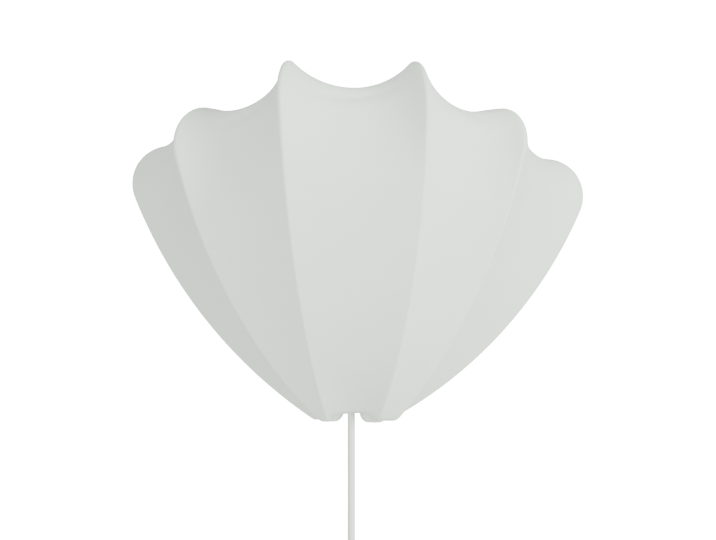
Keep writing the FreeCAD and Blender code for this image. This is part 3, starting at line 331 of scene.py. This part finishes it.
def moulded_thermoplastic(name, shade, roughness, dimple):
    """Injection-moulded plastic: even colour, a gloss broken by its mould's fine texture."""
    material, tree, shader, place = started(name, shade, roughness, IOR=1.54)
    patches = noise(tree, place, 14 * MM)
    tinted(tree, shader, shade, patches, 0.012)
    roughened(tree, shader, patches, roughness - 0.05, roughness + 0.07)
    bumped(tree, shader, noise(tree, place, 0.7 * MM), dimple, 0.5)
    return material


def frosted_glass():
    """Acid-etched soda-lime glass of the globe: milky, lets light in and blurs what is behind."""
    colour = hex_colour("#F4F3EC")
    material, tree, shader, place = started(
        "etched_soda_lime_glass", colour, 0.45, IOR=1.52, Transmission_Weight=0.55)
    roughened(tree, shader, noise(tree, place, 4 * MM), 0.38, 0.52)
    return material


def silicone_rubber():
    """Moulded silicone feet: soft white, with a faint waxy gloss and dust in their grain."""
    colour = hex_colour("#DAD9D2")
    material, tree, shader, place = started("moulded_silicone_rubber", colour, 0.62, IOR=1.41)
    dust = noise(tree, place, 1.0 * MM, 3.0)
    tinted(tree, shader, colour, dust, 0.03)
    bumped(tree, shader, dust, 0.05 * MM, 0.5)
    return material


def studio_floor_paint():
    """Matt emulsion on the studio's floor: pale, even, with the faint stipple of a roller."""
    colour = hex_colour("#EFEFED")
    material, tree, shader, place = started("matt_floor_emulsion", colour, 0.85)
    tinted(tree, shader, colour, noise(tree, place, 12 * MM), 0.01)
    return material


# ---- shade ----------------------------------------------------------------------
# in millimetres and degrees, as are all the sizes down to the stage
LEFT_SPINE_X = -20.0
RIGHT_SPINE_X = 17.0
# each rib: its spine's x, angle from straight ahead, reach, top above the keyholes, flank
# radius, foot's run, head above the keyholes and shoulder radius
RIBS = [
    (LEFT_SPINE_X, -90.0, 175.0, 62.2, 430.0, 11.0, 28.0, 30.5),
    (LEFT_SPINE_X, -49.4, 172.3, 91.4, 467.0, 9.0, 46.0, 30.0),
    (LEFT_SPINE_X, -13.7, 172.2, 128.9, 482.0, 9.0, 52.0, 30.0),
    (RIGHT_SPINE_X, 16.2, 165.2, 129.0, 387.0, 19.0, 52.0, 37.0),
    (RIGHT_SPINE_X, 44.4, 183.8, 89.4, 521.0, 26.0, 46.0, 25.0),
    (RIGHT_SPINE_X, 90.0, 186.5, 50.3, 384.0, 13.3, 28.0, 30.0),
]
FOOT_DROP = 177.0          # from the keyholes down to the ribs' feet
SPINE_Y = -5.2
TOE_R = 10.5               # bend at the foot of each rib
ROOF_R = 300.0             # crown of each rib's way back to the wall
BLOCK_R = 9.0              # round blocks that the ribs are welded to
FOOT_EDGE = 4.0            # from a foot block to the fabric's edge
HEAD_EDGE = 5.0            # and from a head block
CREST = 3.5                # from a wire's centre to the fabric's outside
HEM_TAIL = 8.0             # the fabric that is turned in behind an outer rib
TAIL_WIDE = 0.9            # the place up the rib by which the tail has its whole width
TAIL_FADES = 0.6           # the share of the roof over which it narrows again
TAIL_LEAST = 0.06          # the share of its width that is left at its ends
LEAST_DIP = 0.52           # a dip's least radius, as a share of the distance across
# the places up the ribs that each gore's dip radii below are for
DIP_AT = [0.0, 0.5, 1.2, 1.5, 1.8, 2.0, 2.5, 3.0, 4.0]
OUTER_LEFT_DIP = [60.0, 70.0, 260.0, 420.0, 298.0, 219.0, 212.0, 200.0, 28.0]
INNER_LEFT_DIP = [60.0, 70.0, 260.0, 420.0, 260.0, 80.0, 69.0, 65.0, 60.0]
CENTRE_DIP = [24.0, 30.0, 300.0, 420.0, 300.0, 84.0, 70.0, 68.0, 60.0]
INNER_RIGHT_DIP = [60.0, 70.0, 260.0, 420.0, 260.0, 80.0, 63.0, 59.0, 60.0]
OUTER_RIGHT_DIP = [60.0, 70.0, 260.0, 420.0, 327.0, 240.0, 187.0, 180.0, 28.0]
GORE_DIPS = [OUTER_LEFT_DIP, INNER_LEFT_DIP, CENTRE_DIP, INNER_RIGHT_DIP, OUTER_RIGHT_DIP]
FOOT_SWELL = 0.6           # how much further out the gathered cloth stands at the feet
SWELL_ENDS = 1.0           # the place up the ribs where it dies away
ROWS = [8, 56, 34, 44]     # of the fabric along the foot, flank, shoulder and roof
ARCH_GORE = 2              # the middle gore, whose foot arches up over the lead
ARCH_LIFT = 6.5            # at its highest
ARCH_PEAK = 0.72           # how far across that gore the arch is highest
ARCH_FULL = 0.6            # the place up the ribs to which it keeps its height
ARCH_ENDS = 1.15           # and the place where it dies away
ARCH_POWER = 1.2           # over 1, it starts more softly at the two ribs
GORE_COLUMNS = 30          # of the fabric across each gore, each crest and each tail
CREST_COLUMNS = 7
TAIL_COLUMNS = 5
RIB_NODES = ("outer_rib_left", "mid_rib_left", "centre_rib_left",
             "centre_rib_right", "mid_rib_right", "outer_rib_right")


def circles_meet(c0, r0, c1, r1):
    """The left one of the two points at r0 from c0 and r1 from c1."""
    gap = math.dist(c0, c1)
    along = (r0 * r0 - r1 * r1 + gap * gap) / (2 * gap)
    aside = math.sqrt(r0 * r0 - along * along)
    ux, uy = (c1[0] - c0[0]) / gap, (c1[1] - c0[1]) / gap
    return c0[0] + along * ux - aside * uy, c0[1] + along * uy + aside * ux


def bearing(origin, target):
    """The angle at which one point is seen from another."""
    return math.atan2(target[1] - origin[1], target[0] - origin[0])


def rib_rows(rib, places):
    """Points of a rib and its outward directions at an array of places.

    The wire lies in an upright plane: a straight foot, then toe, flank,
    shoulder and roof arcs, each tangent to the next. A place is the number
    of the stretch of fabric, from the foot, and the share of it done.
    """
    spine_x, angle, reach, top, flank_r, foot, head, shoulder_r = rib
    toe = (foot, TOE_R)
    shoulder = (reach - shoulder_r, FOOT_DROP + top - shoulder_r)
    end = (BLOCK_R / 2, FOOT_DROP + head)
    flank = circles_meet(toe, flank_r - TOE_R, shoulder, flank_r - shoulder_r)
    roof = circles_meet(shoulder, ROOF_R - shoulder_r, end, ROOF_R)
    # the angles round their hubs at which the arcs meet
    low, high = bearing(flank, toe), bearing(flank, shoulder)
    over, last = bearing(roof, shoulder), bearing(roof, end)
    hubs = np.array([toe, flank, shoulder, roof])
    radii = np.array([TOE_R, flank_r, shoulder_r, ROOF_R])
    begins = np.array([-math.pi / 2, low, high, over])
    turns = np.array([low, high, over, last]) - begins
    lengths = np.concatenate([[foot - BLOCK_R / 2], radii * turns])
    joints = np.concatenate([[0], np.cumsum(lengths)])

    # how far along the wire each whole place lies
    edge = BLOCK_R + FOOT_EDGE
    if foot > edge:
        first = edge - BLOCK_R / 2
    else:
        first = lengths[0] + TOE_R * math.asin((edge - foot) / TOE_R)
    end_turn = math.acos((BLOCK_R + HEAD_EDGE - roof[0]) / ROOF_R)
    to_roof = joints[:len(radii) + 1]
    final = to_roof[-1] + ROOF_R * (end_turn - over)
    marks = np.array([first, *to_roof[2:], final])

    distance = np.interp(places, np.arange(len(marks)), marks)
    which = np.clip(np.searchsorted(joints, distance, side="right") - 1, 0, len(radii))
    k = np.maximum(which - 1, 0)
    turn = begins[k] + (distance - joints[which]) / radii[k]
    turn = np.where(which == 0, -math.pi / 2, turn)
    run = np.where(which == 0, BLOCK_R / 2 + distance, hubs[k, 0] + radii[k] * np.cos(turn))
    height = np.where(which == 0, 0.0, hubs[k, 1] + radii[k] * np.sin(turn))
    side, ahead = math.sin(math.radians(angle)), math.cos(math.radians(angle))
    points = np.stack([spine_x + run * side, SPINE_Y - run * ahead, height - FOOT_DROP], -1)
    outward = np.stack([np.cos(turn) * side, -np.cos(turn) * ahead, np.sin(turn)], -1)
    return points, outward


def unit(vectors):
    """The same directions, at a length of 1."""
    return vectors / np.linalg.norm(vectors, axis=-1, keepdims=True)


def between(a, b, shares):
    """Unit vectors turned evenly from a to b, one column for each share."""
    angle = np.arccos(np.clip((a * b).sum(-1), -1, 1))[:, None, None]
    s = shares[None, :, None]
    small = np.maximum(np.sin(angle), 1e-9)
    weight_a = np.where(angle < 1e-4, 1 - s, np.sin((1 - s) * angle) / small)
    weight_b = np.where(angle < 1e-4, s, np.sin(s * angle) / small)
    return unit(a[:, None] * weight_a + b[:, None] * weight_b)


def eased(share):
    """A share that starts and ends softly, and is held from 0 to 1."""
    held = np.clip(share, 0, 1)
    return held * held * (3 - 2 * held)


def crest(places):
    """From a wire's centre to the fabric's outside: more at the feet, where it is gathered."""
    return CREST + FOOT_SWELL * eased(1 - places / SWELL_ENDS)


def dips(points, outward, places):
    """Centre and radius of the arc that each gore makes across, row by row.

    The arc's centre lies outside the shade, on the line through the middle
    of the chord between two ribs, so that the arc is tangent to both wires.
    """
    found = []
    for k in range(len(RIBS) - 1):
        chord = points[k + 1] - points[k]
        wide = np.linalg.norm(chord, axis=-1)
        across = chord / wide[:, None]
        out = outward[k] + outward[k + 1]
        out = unit(out - across * (out * across).sum(-1, keepdims=True))
        radius = 1 / np.interp(places, DIP_AT, 1 / np.array(GORE_DIPS[k]))
        radius = np.maximum(radius, wide * LEAST_DIP)
        deep = np.sqrt((radius + crest(places)) ** 2 - (wide / 2) ** 2)
        found.append((points[k] + chord / 2 + out * deep[:, None], radius))
    return found


def foot_arch(places, shares):
    """How far the middle gore's foot is pulled up: a skewed hump that dies away up the ribs."""
    skewed = shares ** (math.log(0.5) / math.log(ARCH_PEAK))
    hump = np.sin(math.pi * skewed) ** ARCH_POWER
    near = eased((ARCH_ENDS - places) / (ARCH_ENDS - ARCH_FULL))
    return ARCH_LIFT * near[:, None] * hump[None, :]


def shade_grid():
    """The fabric's outside, from hem to hem: arcs round the wires and dips between them."""
    stretches = [stretch + np.arange(count) / count for stretch, count in enumerate(ROWS)]
    places = np.concatenate([*stretches, [len(ROWS)]])
    points, outward = zip(*[rib_rows(rib, places) for rib in RIBS])
    found = dips(points, outward, places)
    back = np.broadcast_to([0.0, 1.0, 0.0], points[0].shape)
    crest_shares = np.linspace(0, 1, CREST_COLUMNS)
    gore_shares = np.linspace(0, 1, GORE_COLUMNS + 2)[1:-1]
    # the tail dies away towards the foot and the head
    share = np.minimum(places / TAIL_WIDE, (len(ROWS) - places) / TAIL_FADES)
    tail = HEM_TAIL * np.clip(share, TAIL_LEAST, 1)
    tail_shares = np.linspace(1, 0, TAIL_COLUMNS)[None, :, None]

    def tail_behind(k):
        """The turned-in tail: straight inwards from the back of an outer rib's crest."""
        inward = -outward[k][:, None] * tail[:, None, None] * tail_shares
        return (points[k] + back * CREST)[:, None] + inward

    around = crest(places)[:, None, None]
    last = len(RIBS) - 1
    columns = [tail_behind(0)[:, :-1]]
    for k in range(last + 1):
        hub = points[k]
        from_left = back if k == 0 else unit(found[k - 1][0] - hub)
        to_right = back if k == last else unit(found[k][0] - hub)
        columns.append(hub[:, None] + between(from_left, to_right, crest_shares) * around)
        if k < last:
            centre, radius = found[k]
            a = unit(centre - points[k])
            b = unit(centre - points[k + 1])
            dip = centre[:, None] - between(a, b, gore_shares) * radius[:, None, None]
            if k == ARCH_GORE:
                dip[:, :, 2] += foot_arch(places, gore_shares)
            columns.append(dip)
    columns.append(tail_behind(last)[:, ::-1][:, 1:])
    return np.concatenate(columns, 1) * MM


# radius and height of the bowl round a foot, from the middle of its floor up to its rim
CUP_PROFILE = [(0.4, -181.4), (3.0, -181.4), (5.2, -181.2), (6.9, -180.4), (8.5, -178.8),
               (9.8, -176.9), (10.4, -174.6), (10.6, -171.5), (10.4, -167.2)]
RIGHT_CUP_LOWER = 1.0      # the right foot's gathers hang lower than the left's
CUP_STRETCH = 0.32         # how much wider the bowl is on its side away from the lead
CUP_TILT = 0.07            # how much lower it hangs there for each step away
CUP_BACK_Y = -1.2          # the flat that clears the wall
GATHERS = 11               # soft folds round each foot
FLUTE_DEPTH = 0.035        # how much they swell the radius, as a share of it
CUP_ROWS = 36              # from the middle of the floor to the rim
CUP_COLUMNS = 73           # round the bowl


def cup_grid(spine_x):
    """The cloth tied up round a foot: a bowl about the spine, fluted by its gathers, flat behind.

    The radius and height follow straight lines through the profile's points.
    The radius is swollen by a cosine for each gather round it, which dies
    away at the rim and the middle. Away from the lead the bowl is wider, and
    its floor hangs lower.
    """
    outwards = math.copysign(1, spine_x)
    run = np.linspace(0, len(CUP_PROFILE) - 1, CUP_ROWS)
    line = np.array(CUP_PROFILE)
    radius, height = (np.interp(run, np.arange(len(line)), line[:, k])[:, None] for k in (0, 1))
    turn = np.linspace(0, math.tau, CUP_COLUMNS)[None, :]
    fluted = radius * (1 + FLUTE_DEPTH * np.cos(GATHERS * turn)
                       * np.sin(math.pi * run / run[-1])[:, None])
    away = np.maximum(outwards * np.cos(turn), 0)
    x = spine_x + fluted * np.cos(turn) * (1 + CUP_STRETCH * away)
    y = np.minimum(SPINE_Y + fluted * np.sin(turn), CUP_BACK_Y)
    lower = RIGHT_CUP_LOWER if outwards > 0 else 0.0
    hang = lower + np.maximum(outwards * (x - spine_x), 0) * CUP_TILT
    floor_share = np.linspace(1, 0, CUP_ROWS)[:, None]
    return np.stack([x, y, height - hang * floor_share], -1) * MM


STITCH_LENGTH = 3.2
STITCH_PITCH = 4.5
STITCH_R = 0.32
STITCH_SIDES = 6
STITCH_TAPER = [0.35, 0.9, 1.0, 0.9, 0.35]    # its radius along it, as shares
HEM_LINE = 0.62            # how far in the hem's tail the stitches run
HEM_PLACES = (1.0, 3.5)    # the places up the rib that they start and end at
HEM_SAMPLES = 1500         # points along that line, by which they are spaced evenly


def stitch_rows(side):
    """Rings of points of the hem's stitches behind an outer rib: (stitches, rings, sides, 3).

    Each stitch is a short spindle along the hem's line: its rings are
    polygons square to the line, at the stitch's radius times its taper.
    """
    points, outward = rib_rows(RIBS[side], np.linspace(*HEM_PLACES, HEM_SAMPLES))
    line = points + [0.0, CREST, 0.0] - outward * HEM_TAIL * HEM_LINE
    along = np.concatenate([[0], np.cumsum(np.linalg.norm(np.diff(line, axis=0), axis=1))])
    middles = np.arange(STITCH_PITCH, along[-1] - STITCH_PITCH, STITCH_PITCH)
    steps = np.linspace(-0.5, 0.5, len(STITCH_TAPER)) * STITCH_LENGTH
    places = middles[:, None] + steps[None, :]
    centres = np.stack([np.interp(places, along, line[:, k]) for k in range(3)], -1)
    inward = np.stack([np.interp(places, along, outward[:, k]) for k in range(3)], -1)
    turn = np.arange(STITCH_SIDES) / STITCH_SIDES * math.tau
    radius = STITCH_R * np.array(STITCH_TAPER)[None, :, None, None]
    ring = (inward[:, :, None] * np.cos(turn)[:, None]
            + np.array([0.0, 1.0, 0.0]) * np.sin(turn)[:, None])
    return (centres[:, :, None] + ring * radius) * MM


def stitches(name, side, material):
    """All the stitches of one hem in one mesh, each closed at its two ends."""
    rings = stitch_rows(side)
    count, rows, sides = rings.shape[:3]
    index = np.arange(rows * sides).reshape(rows, sides)
    wrap = np.roll(index, -1, 1)
    walls = np.stack([index[:-1], wrap[:-1], wrap[1:], index[1:]], -1).reshape(-1, 4)
    offset = (np.arange(count) * rows * sides)[:, None, None]
    faces = (walls[None] + offset).reshape(-1, 4).tolist()
    ends = np.stack([index[0][::-1], index[-1]])
    faces += (ends[None] + offset).reshape(-1, sides).tolist()
    mesh = bpy.data.meshes.new(name)
    mesh.from_pydata(rings.reshape(-1, 3).tolist(), [], faces)
    mesh.polygons.foreach_set("use_smooth", np.ones(len(faces), bool))
    mesh.materials.append(material)
    face_outwards(mesh)
    return linked(name, mesh)


def face_outwards(mesh):
    """Turns every face of a mesh of closed shells outwards."""
    work = bmesh.new()
    work.from_mesh(mesh)
    bmesh.ops.recalc_face_normals(work, faces=work.faces)
    work.to_mesh(mesh)
    work.free()


def thickened(cloth):
    """Gives a sheet of the fabric its thickness, inwards from its face."""
    wall = cloth.modifiers.new("fabric thickness", "SOLIDIFY")
    wall.thickness = sizes().fabric_thickness
    wall.offset = -1


def run_lengths(points, axis):
    """Distance travelled along an axis of the grid."""
    steps = np.linalg.norm(np.diff(points, axis=axis), axis=-1)
    return np.concatenate([np.zeros_like(steps.take([0], axis)), np.cumsum(steps, axis)], axis)


class SHELL_OT_shade(bpy.types.Operator):
    """Stretch one piece of jersey over the ribs, hemmed behind the outer two"""
    bl_idname = "shell_light.shade"
    bl_label = "Fabric shade"

    def execute(self, context):
        points = shade_grid()
        across = run_lengths(points, 1)
        middle = across[:, across.shape[1] // 2][:, None]
        along = run_lengths(points, 0).mean(1, keepdims=True)
        cloth = np.stack([across - middle, np.broadcast_to(along, across.shape)], -1)
        shade = grid_mesh("fabric_shade", points[:, ::-1], cloth[:, ::-1])
        jersey = polyester_jersey()
        thread = spun_thread()
        hems = [stitches("hem_stitches_left", 0, thread),
                stitches("hem_stitches_right", len(RIBS) - 1, thread)]
        cups = []
        for name, spine_x in (("foot_gather_left", LEFT_SPINE_X),
                              ("foot_gather_right", RIGHT_SPINE_X)):
            cup = cup_grid(spine_x)
            cloth = np.stack([run_lengths(cup, 1), run_lengths(cup, 0)], -1)
            cups.append(grid_mesh(name, cup, cloth))
        for piece in (shade, *cups):
            piece.data.materials.append(jersey)
            thickened(piece)
        for piece in (shade, *hems, *cups):
            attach(piece, "lamp")
        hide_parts("gore_outer_left", "gore_inner_left", "gore_centre", "gore_inner_right",
                    "gore_outer_right", "hem_left", "hem_right")
        return {"FINISHED"}


# ---- lead -----------------------------------------------------------------------
CORD_X = -1.5
CORD_Y = -11.0
LAMP_Y = -58.0
GRIP_TOP_Z = -70.4         # where the inner lead ends inside the cord grip
INNER_TOP_BEND_Z = -108.0
INNER_LOW_BEND_Z = -115.7
OUTLET_Z = -164.8          # the outlet relief's lower end
OUTLET_STRAIGHT = 1.5      # of the inner lead, at its end
DROP_STRAIGHT = 40.0       # of the hanging lead, at either end
SWITCH_TOP = -312.3        # of its shells, between the two reliefs
SWITCH_BOTTOM = -374.3
DROP_END = -402.5          # of the straight run below the switch
DROP_CORNER_Z = -425.2     # the corner of its bend towards the coil
BEND_END = (-22.26, CORD_Y, -434.5)
COIL_X = -8.05
COIL_Z = -483.1
COIL_INNER_R = 28.0
COIL_STEP = 3.7            # the radius changes by this each half turn
COIL_LAYER = 7.4           # from the back layer to the front one
BACK_HALVES = 6
FRONT_HALVES = 5
JOIN = 114.0               # angle at which the lead joins the outermost turn
JOIN_POINTS = 2            # from there to the end of that turn's half
TURN_POINTS = 6            # in each half turn
LOOP_START = (42.15, -18.4, -453.1)
LOOP_END = (-12.8, -29.25, -453.1)
LOOP_R = 28.0
LOOP_RISE = 12.0           # the straight climb to the loop's start
PLUG_Z = -482.1


def turn_points(hub_x, y, radius, first, last, count):
    """Corners of a path round a hub, whose spline keeps the radius.

    Each corner stands at the middle of its share of the angle, at the
    radius over the cosine of half of that share.
    """
    share = math.radians(last - first) / count
    angles = math.radians(first) + share * (np.arange(count) + 0.5)
    far = radius / math.cos(share / 2)
    x, z = hub_x + far * np.cos(angles), COIL_Z + far * np.sin(angles)
    return np.stack([x, np.full(count, y), z], -1)


def half_turn(upper, lower_shift, y, radius):
    """Corners of the coil's upper or lower half turn; the lower one's hub is shifted in x."""
    hub_x, first = (COIL_X, 0) if upper else (COIL_X + lower_shift, 180)
    return turn_points(hub_x, y, radius, first, first + 180, TURN_POINTS)


def coil_route():
    """Half turns whose hubs swap sides, inwards at the back and outwards at the front."""
    outer = COIL_INNER_R + BACK_HALVES * COIL_STEP
    runs = [turn_points(COIL_X, CORD_Y, outer, JOIN, 180, JOIN_POINTS)]
    for k in range(BACK_HALVES - 1, 0, -1):
        runs.append(half_turn((BACK_HALVES - k) % 2 == 0, -COIL_STEP, CORD_Y,
                              COIL_INNER_R + k * COIL_STEP))
    climb = half_turn(True, 0, CORD_Y, COIL_INNER_R)
    done = (climb[0, 0] - climb[:, 0]) / (climb[0, 0] - climb[-1, 0])
    climb[:, 1] = CORD_Y - COIL_LAYER * done
    runs.append(climb)
    for k in range(1, FRONT_HALVES + 1):
        runs.append(half_turn(k % 2 == 0, COIL_STEP, CORD_Y - COIL_LAYER,
                              COIL_INNER_R + k * COIL_STEP))
    return np.concatenate(runs)


def tail_route():
    """Up from the coil, over in a half loop that leans forward, and down into the plug."""
    start, end = np.array(LOOP_START), np.array(LOOP_END)
    share = math.pi / TURN_POINTS
    angles = share * (np.arange(TURN_POINTS) + 0.5)[:, None]
    far = LOOP_R / math.cos(share / 2)
    side, up = unit(start - end), np.array([0, 0, 1.0])
    loop = (start + end) / 2 + far * (np.cos(angles) * side + np.sin(angles) * up)
    foot = np.array([LOOP_END[0], LOOP_END[1], PLUG_Z])
    return np.concatenate([[start - up * LOOP_RISE, start], loop, [end, foot]])


class SHELL_OT_lead(bpy.types.Operator):
    """Run the lead from the lampholder to the switch, and on into its coil and plug"""
    bl_idname = "shell_light.lead"
    bl_label = "Lead"

    def execute(self, context):
        diameter = sizes().cord_diameter
        sheath = pvc_sheath()
        inner = np.array([(CORD_X, LAMP_Y, GRIP_TOP_Z), (CORD_X, LAMP_Y, INNER_TOP_BEND_Z),
                          (CORD_X, CORD_Y, INNER_LOW_BEND_Z),
                          (CORD_X, CORD_Y, OUTLET_Z + OUTLET_STRAIGHT), (CORD_X, CORD_Y, OUTLET_Z)])
        inside = nurbs_cord("inner_flex", inner * MM, diameter, sheath)
        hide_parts("inner_lead")

        drop = np.array([(CORD_X, CORD_Y, OUTLET_Z), (CORD_X, CORD_Y, OUTLET_Z - DROP_STRAIGHT),
                         (CORD_X, CORD_Y, SWITCH_TOP + DROP_STRAIGHT),
                         (CORD_X, CORD_Y, SWITCH_TOP)])
        hanging = nurbs_cord("lead_to_switch", drop * MM, diameter, sheath)
        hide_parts("cord_lead")

        below = np.array([(CORD_X, CORD_Y, SWITCH_BOTTOM), (CORD_X, CORD_Y, DROP_END),
                          (CORD_X, CORD_Y, DROP_CORNER_Z), BEND_END])
        route = np.concatenate([below, coil_route(), tail_route()])
        wound = nurbs_cord("lead_to_plug", route * MM, diameter, sheath)
        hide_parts("cord_drop", "cord_coil", "cord_tail")
        for piece in (inside, hanging, wound):
            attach(piece, "lamp")
        return {"FINISHED"}


# ---- finishes of the frame's own pieces -------------------------------------------
def finish_nodes(material, *names):
    """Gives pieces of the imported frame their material, in each of their slots."""
    for name in names:
        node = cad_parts[name]
        if not node.material_slots:
            node.data.materials.append(material)
        for place in node.material_slots:
            place.material = material


class SHELL_OT_frame_finish(bpy.types.Operator):
    """Coat the welded frame and plate its screws"""
    bl_idname = "shell_light.frame_finish"
    bl_label = "Frame's finish"

    def execute(self, context):
        finish_nodes(powder_coat(), *RIB_NODES, "spine_left", "spine_right", "foot_block_left",
                     "foot_block_right", "head_block_left", "head_block_right", "hanger_strip",
                     "lamp_strip", "cord_strip", "lamp_bracket")
        finish_nodes(zinc_plate(), "bracket_screws", "switch_screws", "switch_pivot", "nipple",
                     "nipple_nut")
        finish_nodes(silicone_rubber(), "wall_bumpers")
        return {"FINISHED"}


class SHELL_OT_lamp_finish(bpy.types.Operator):
    """Finish the lampholder and the bulb"""
    bl_idname = "shell_light.lamp_finish"
    bl_label = "Lampholder's and bulb's finish"

    def execute(self, context):
        shade = colours().moulding
        finish_nodes(moulded_thermoplastic("moulded_polycarbonate", shade, 0.32, 0.02 * MM),
                     "holder_cap", "holder_shell", "cord_grip")
        finish_nodes(moulded_thermoplastic("moulded_phenolic_insulator", hex_colour("#D8D2C2"),
                                           0.55, 0.04 * MM), "holder_core")
        finish_nodes(stamped_brass(), "terminal_screws", "screw_shell", "centre_contact",
                     "switch_terminals")
        finish_nodes(nickel_plate(), "bulb_cap", "bulb_tip", "plug_pins")
        finish_nodes(moulded_thermoplastic("moulded_bulb_collar_plastic", hex_colour("#F0F0EC"),
                                           0.48, 0.03 * MM), "bulb_collar")
        finish_nodes(frosted_glass(), "bulb_glass")
        return {"FINISHED"}


class SHELL_OT_lead_finish(bpy.types.Operator):
    """Finish what is on the lead: its switch, strain reliefs, tie and plug"""
    bl_idname = "shell_light.lead_finish"
    bl_label = "Switch's and plug's finish"

    def execute(self, context):
        shade = colours().moulding
        finish_nodes(moulded_thermoplastic("moulded_abs_housing", shade, 0.34, 0.03 * MM),
                     "switch_front_shell", "switch_back_shell", "plug_body")
        finish_nodes(moulded_thermoplastic("moulded_glossy_abs", hex_colour("#E4E3DC"),
                                           0.24, 0.01 * MM), "switch_rocker")
        finish_nodes(soft_pvc(), "outlet_bush", "outlet_relief", "switch_upper_relief",
                     "switch_lower_relief", "plug_relief")
        finish_nodes(moulded_thermoplastic("moulded_nylon_strap", hex_colour("#DEDDD6"),
                                           0.50, 0.03 * MM), "coil_tie")
        return {"FINISHED"}


# ---- stage ------------------------------------------------------------------------
# in metres
PHOTO_WIDTH_PX = 716
PHOTO_M_PER_PX = 0.0009    # at the wall
CAMERA_AT = (0.0045, -2.5, -0.046)
SENSOR_MM = 36.0
LAMP_TINT = (0.945, 1.0, 0.94)    # daylight tubes, a shade towards green
LAMPS_AIM = (0.0, -0.08, -0.03)
# each lamp: its name, place, width across and watts
LAMPS = [
    ("key", (1.75, -1.35, 0.35), 1.0, 85),
    ("fill", (-1.1, -2.1, -0.6), 1.8, 70),
    ("top", (0.0, -0.5, 2.0), 1.6, 22),
]
SURROUND_LIGHT = 0.78      # the white surround's strength on the part
SURROUND_SEEN = 20.0       # and in the picture, where it is pure white
FLOOR_POINTS = 9           # along each side of the floor


def soft_light(name, at, size, power):
    """A round soft lamp, aimed at the shade."""
    data = bpy.data.lights.new(name, "AREA")
    data.shape = "DISK"
    data.size = size
    data.energy = power
    data.color = LAMP_TINT
    light = linked(name, data)
    light.location = at
    away = Vector(at) - Vector(LAMPS_AIM)
    light.rotation_euler = away.to_track_quat("Z", "Y").to_euler()


class SHELL_OT_stage(bpy.types.Operator):
    """Set the pale floor, the soft lights, the white surround and the camera"""
    bl_idname = "shell_light.stage"
    bl_label = "Stage"

    def execute(self, context):
        scene = context.scene
        floor_z = CAD_BOX[0][2] - sizes().floor_below
        side = np.linspace(-sizes().floor_reach, sizes().floor_reach, FLOOR_POINTS)
        x, y = np.meshgrid(side, side, indexing="ij")
        floor = grid_mesh("floor", np.stack([x, y, np.full_like(x, floor_z)], -1))
        floor.data.materials.append(studio_floor_paint())

        for lamp in LAMPS:
            soft_light(*lamp)

        world = bpy.data.worlds.new("white_studio")
        scene.world = world
        world.use_nodes = True
        tree = world.node_tree
        lit = tree.nodes["Background"]
        lit.inputs["Color"].default_value = (1, 1, 1, 1)
        lit.inputs["Strength"].default_value = SURROUND_LIGHT
        seen = add(tree, "ShaderNodeBackground",
                   values={"Color": (1, 1, 1, 1), "Strength": SURROUND_SEEN})
        ray = add(tree, "ShaderNodeLightPath")
        both = add(tree, "ShaderNodeMixShader", links={0: ray.outputs["Is Camera Ray"],
                                                       1: lit.outputs[0], 2: seen.outputs[0]})
        tree.links.new(both.outputs[0], tree.nodes["World Output"].inputs["Surface"])

        data = bpy.data.cameras.new("camera")
        data.sensor_width = SENSOR_MM
        data.lens = SENSOR_MM * -CAMERA_AT[1] / (PHOTO_WIDTH_PX * PHOTO_M_PER_PX)
        camera = linked("camera", data)
        camera.location = CAMERA_AT
        camera.rotation_euler = (math.radians(90), 0, 0)
        scene.camera = camera
        return {"FINISHED"}


# ---- add-on -------------------------------------------------------------------------
class SHELL_PT_panel(bpy.types.Panel):
    """Lists the steps that dress the light, and its sizes and colours"""
    bl_idname = "SHELL_PT_panel"
    bl_label = "Shell wall light"
    bl_space_type = "VIEW_3D"
    bl_region_type = "UI"
    bl_category = "Shell light"

    def draw(self, context):
        for step in STEPS:
            self.layout.operator(step.bl_idname)
        for group in (sizes(), colours()):
            for name in group.__annotations__:
                self.layout.prop(group, name)


STEPS = (SHELL_OT_stage, SHELL_OT_lead, SHELL_OT_shade, SHELL_OT_frame_finish,
         SHELL_OT_lamp_finish, SHELL_OT_lead_finish)
CLASSES = (ShellLightSizes, ShellLightColours, *STEPS, SHELL_PT_panel)


def register():
    for entry in CLASSES:
        bpy.utils.register_class(entry)
    bpy.types.Scene.shell_light_sizes = PointerProperty(type=ShellLightSizes)
    bpy.types.Scene.shell_light_colours = PointerProperty(type=ShellLightColours)


def unregister():
    del bpy.types.Scene.shell_light_colours
    del bpy.types.Scene.shell_light_sizes
    for entry in reversed(CLASSES):
        bpy.utils.unregister_class(entry)


def main():
    """Builds everything around the frame."""
    register()
    bpy.ops.shell_light.stage()
    bpy.ops.shell_light.lead()
    bpy.ops.shell_light.shade()
    bpy.ops.shell_light.frame_finish()
    bpy.ops.shell_light.lamp_finish()
    bpy.ops.shell_light.lead_finish()
    bpy.context.view_layer.update()


if __name__ == "__main__":
    main()
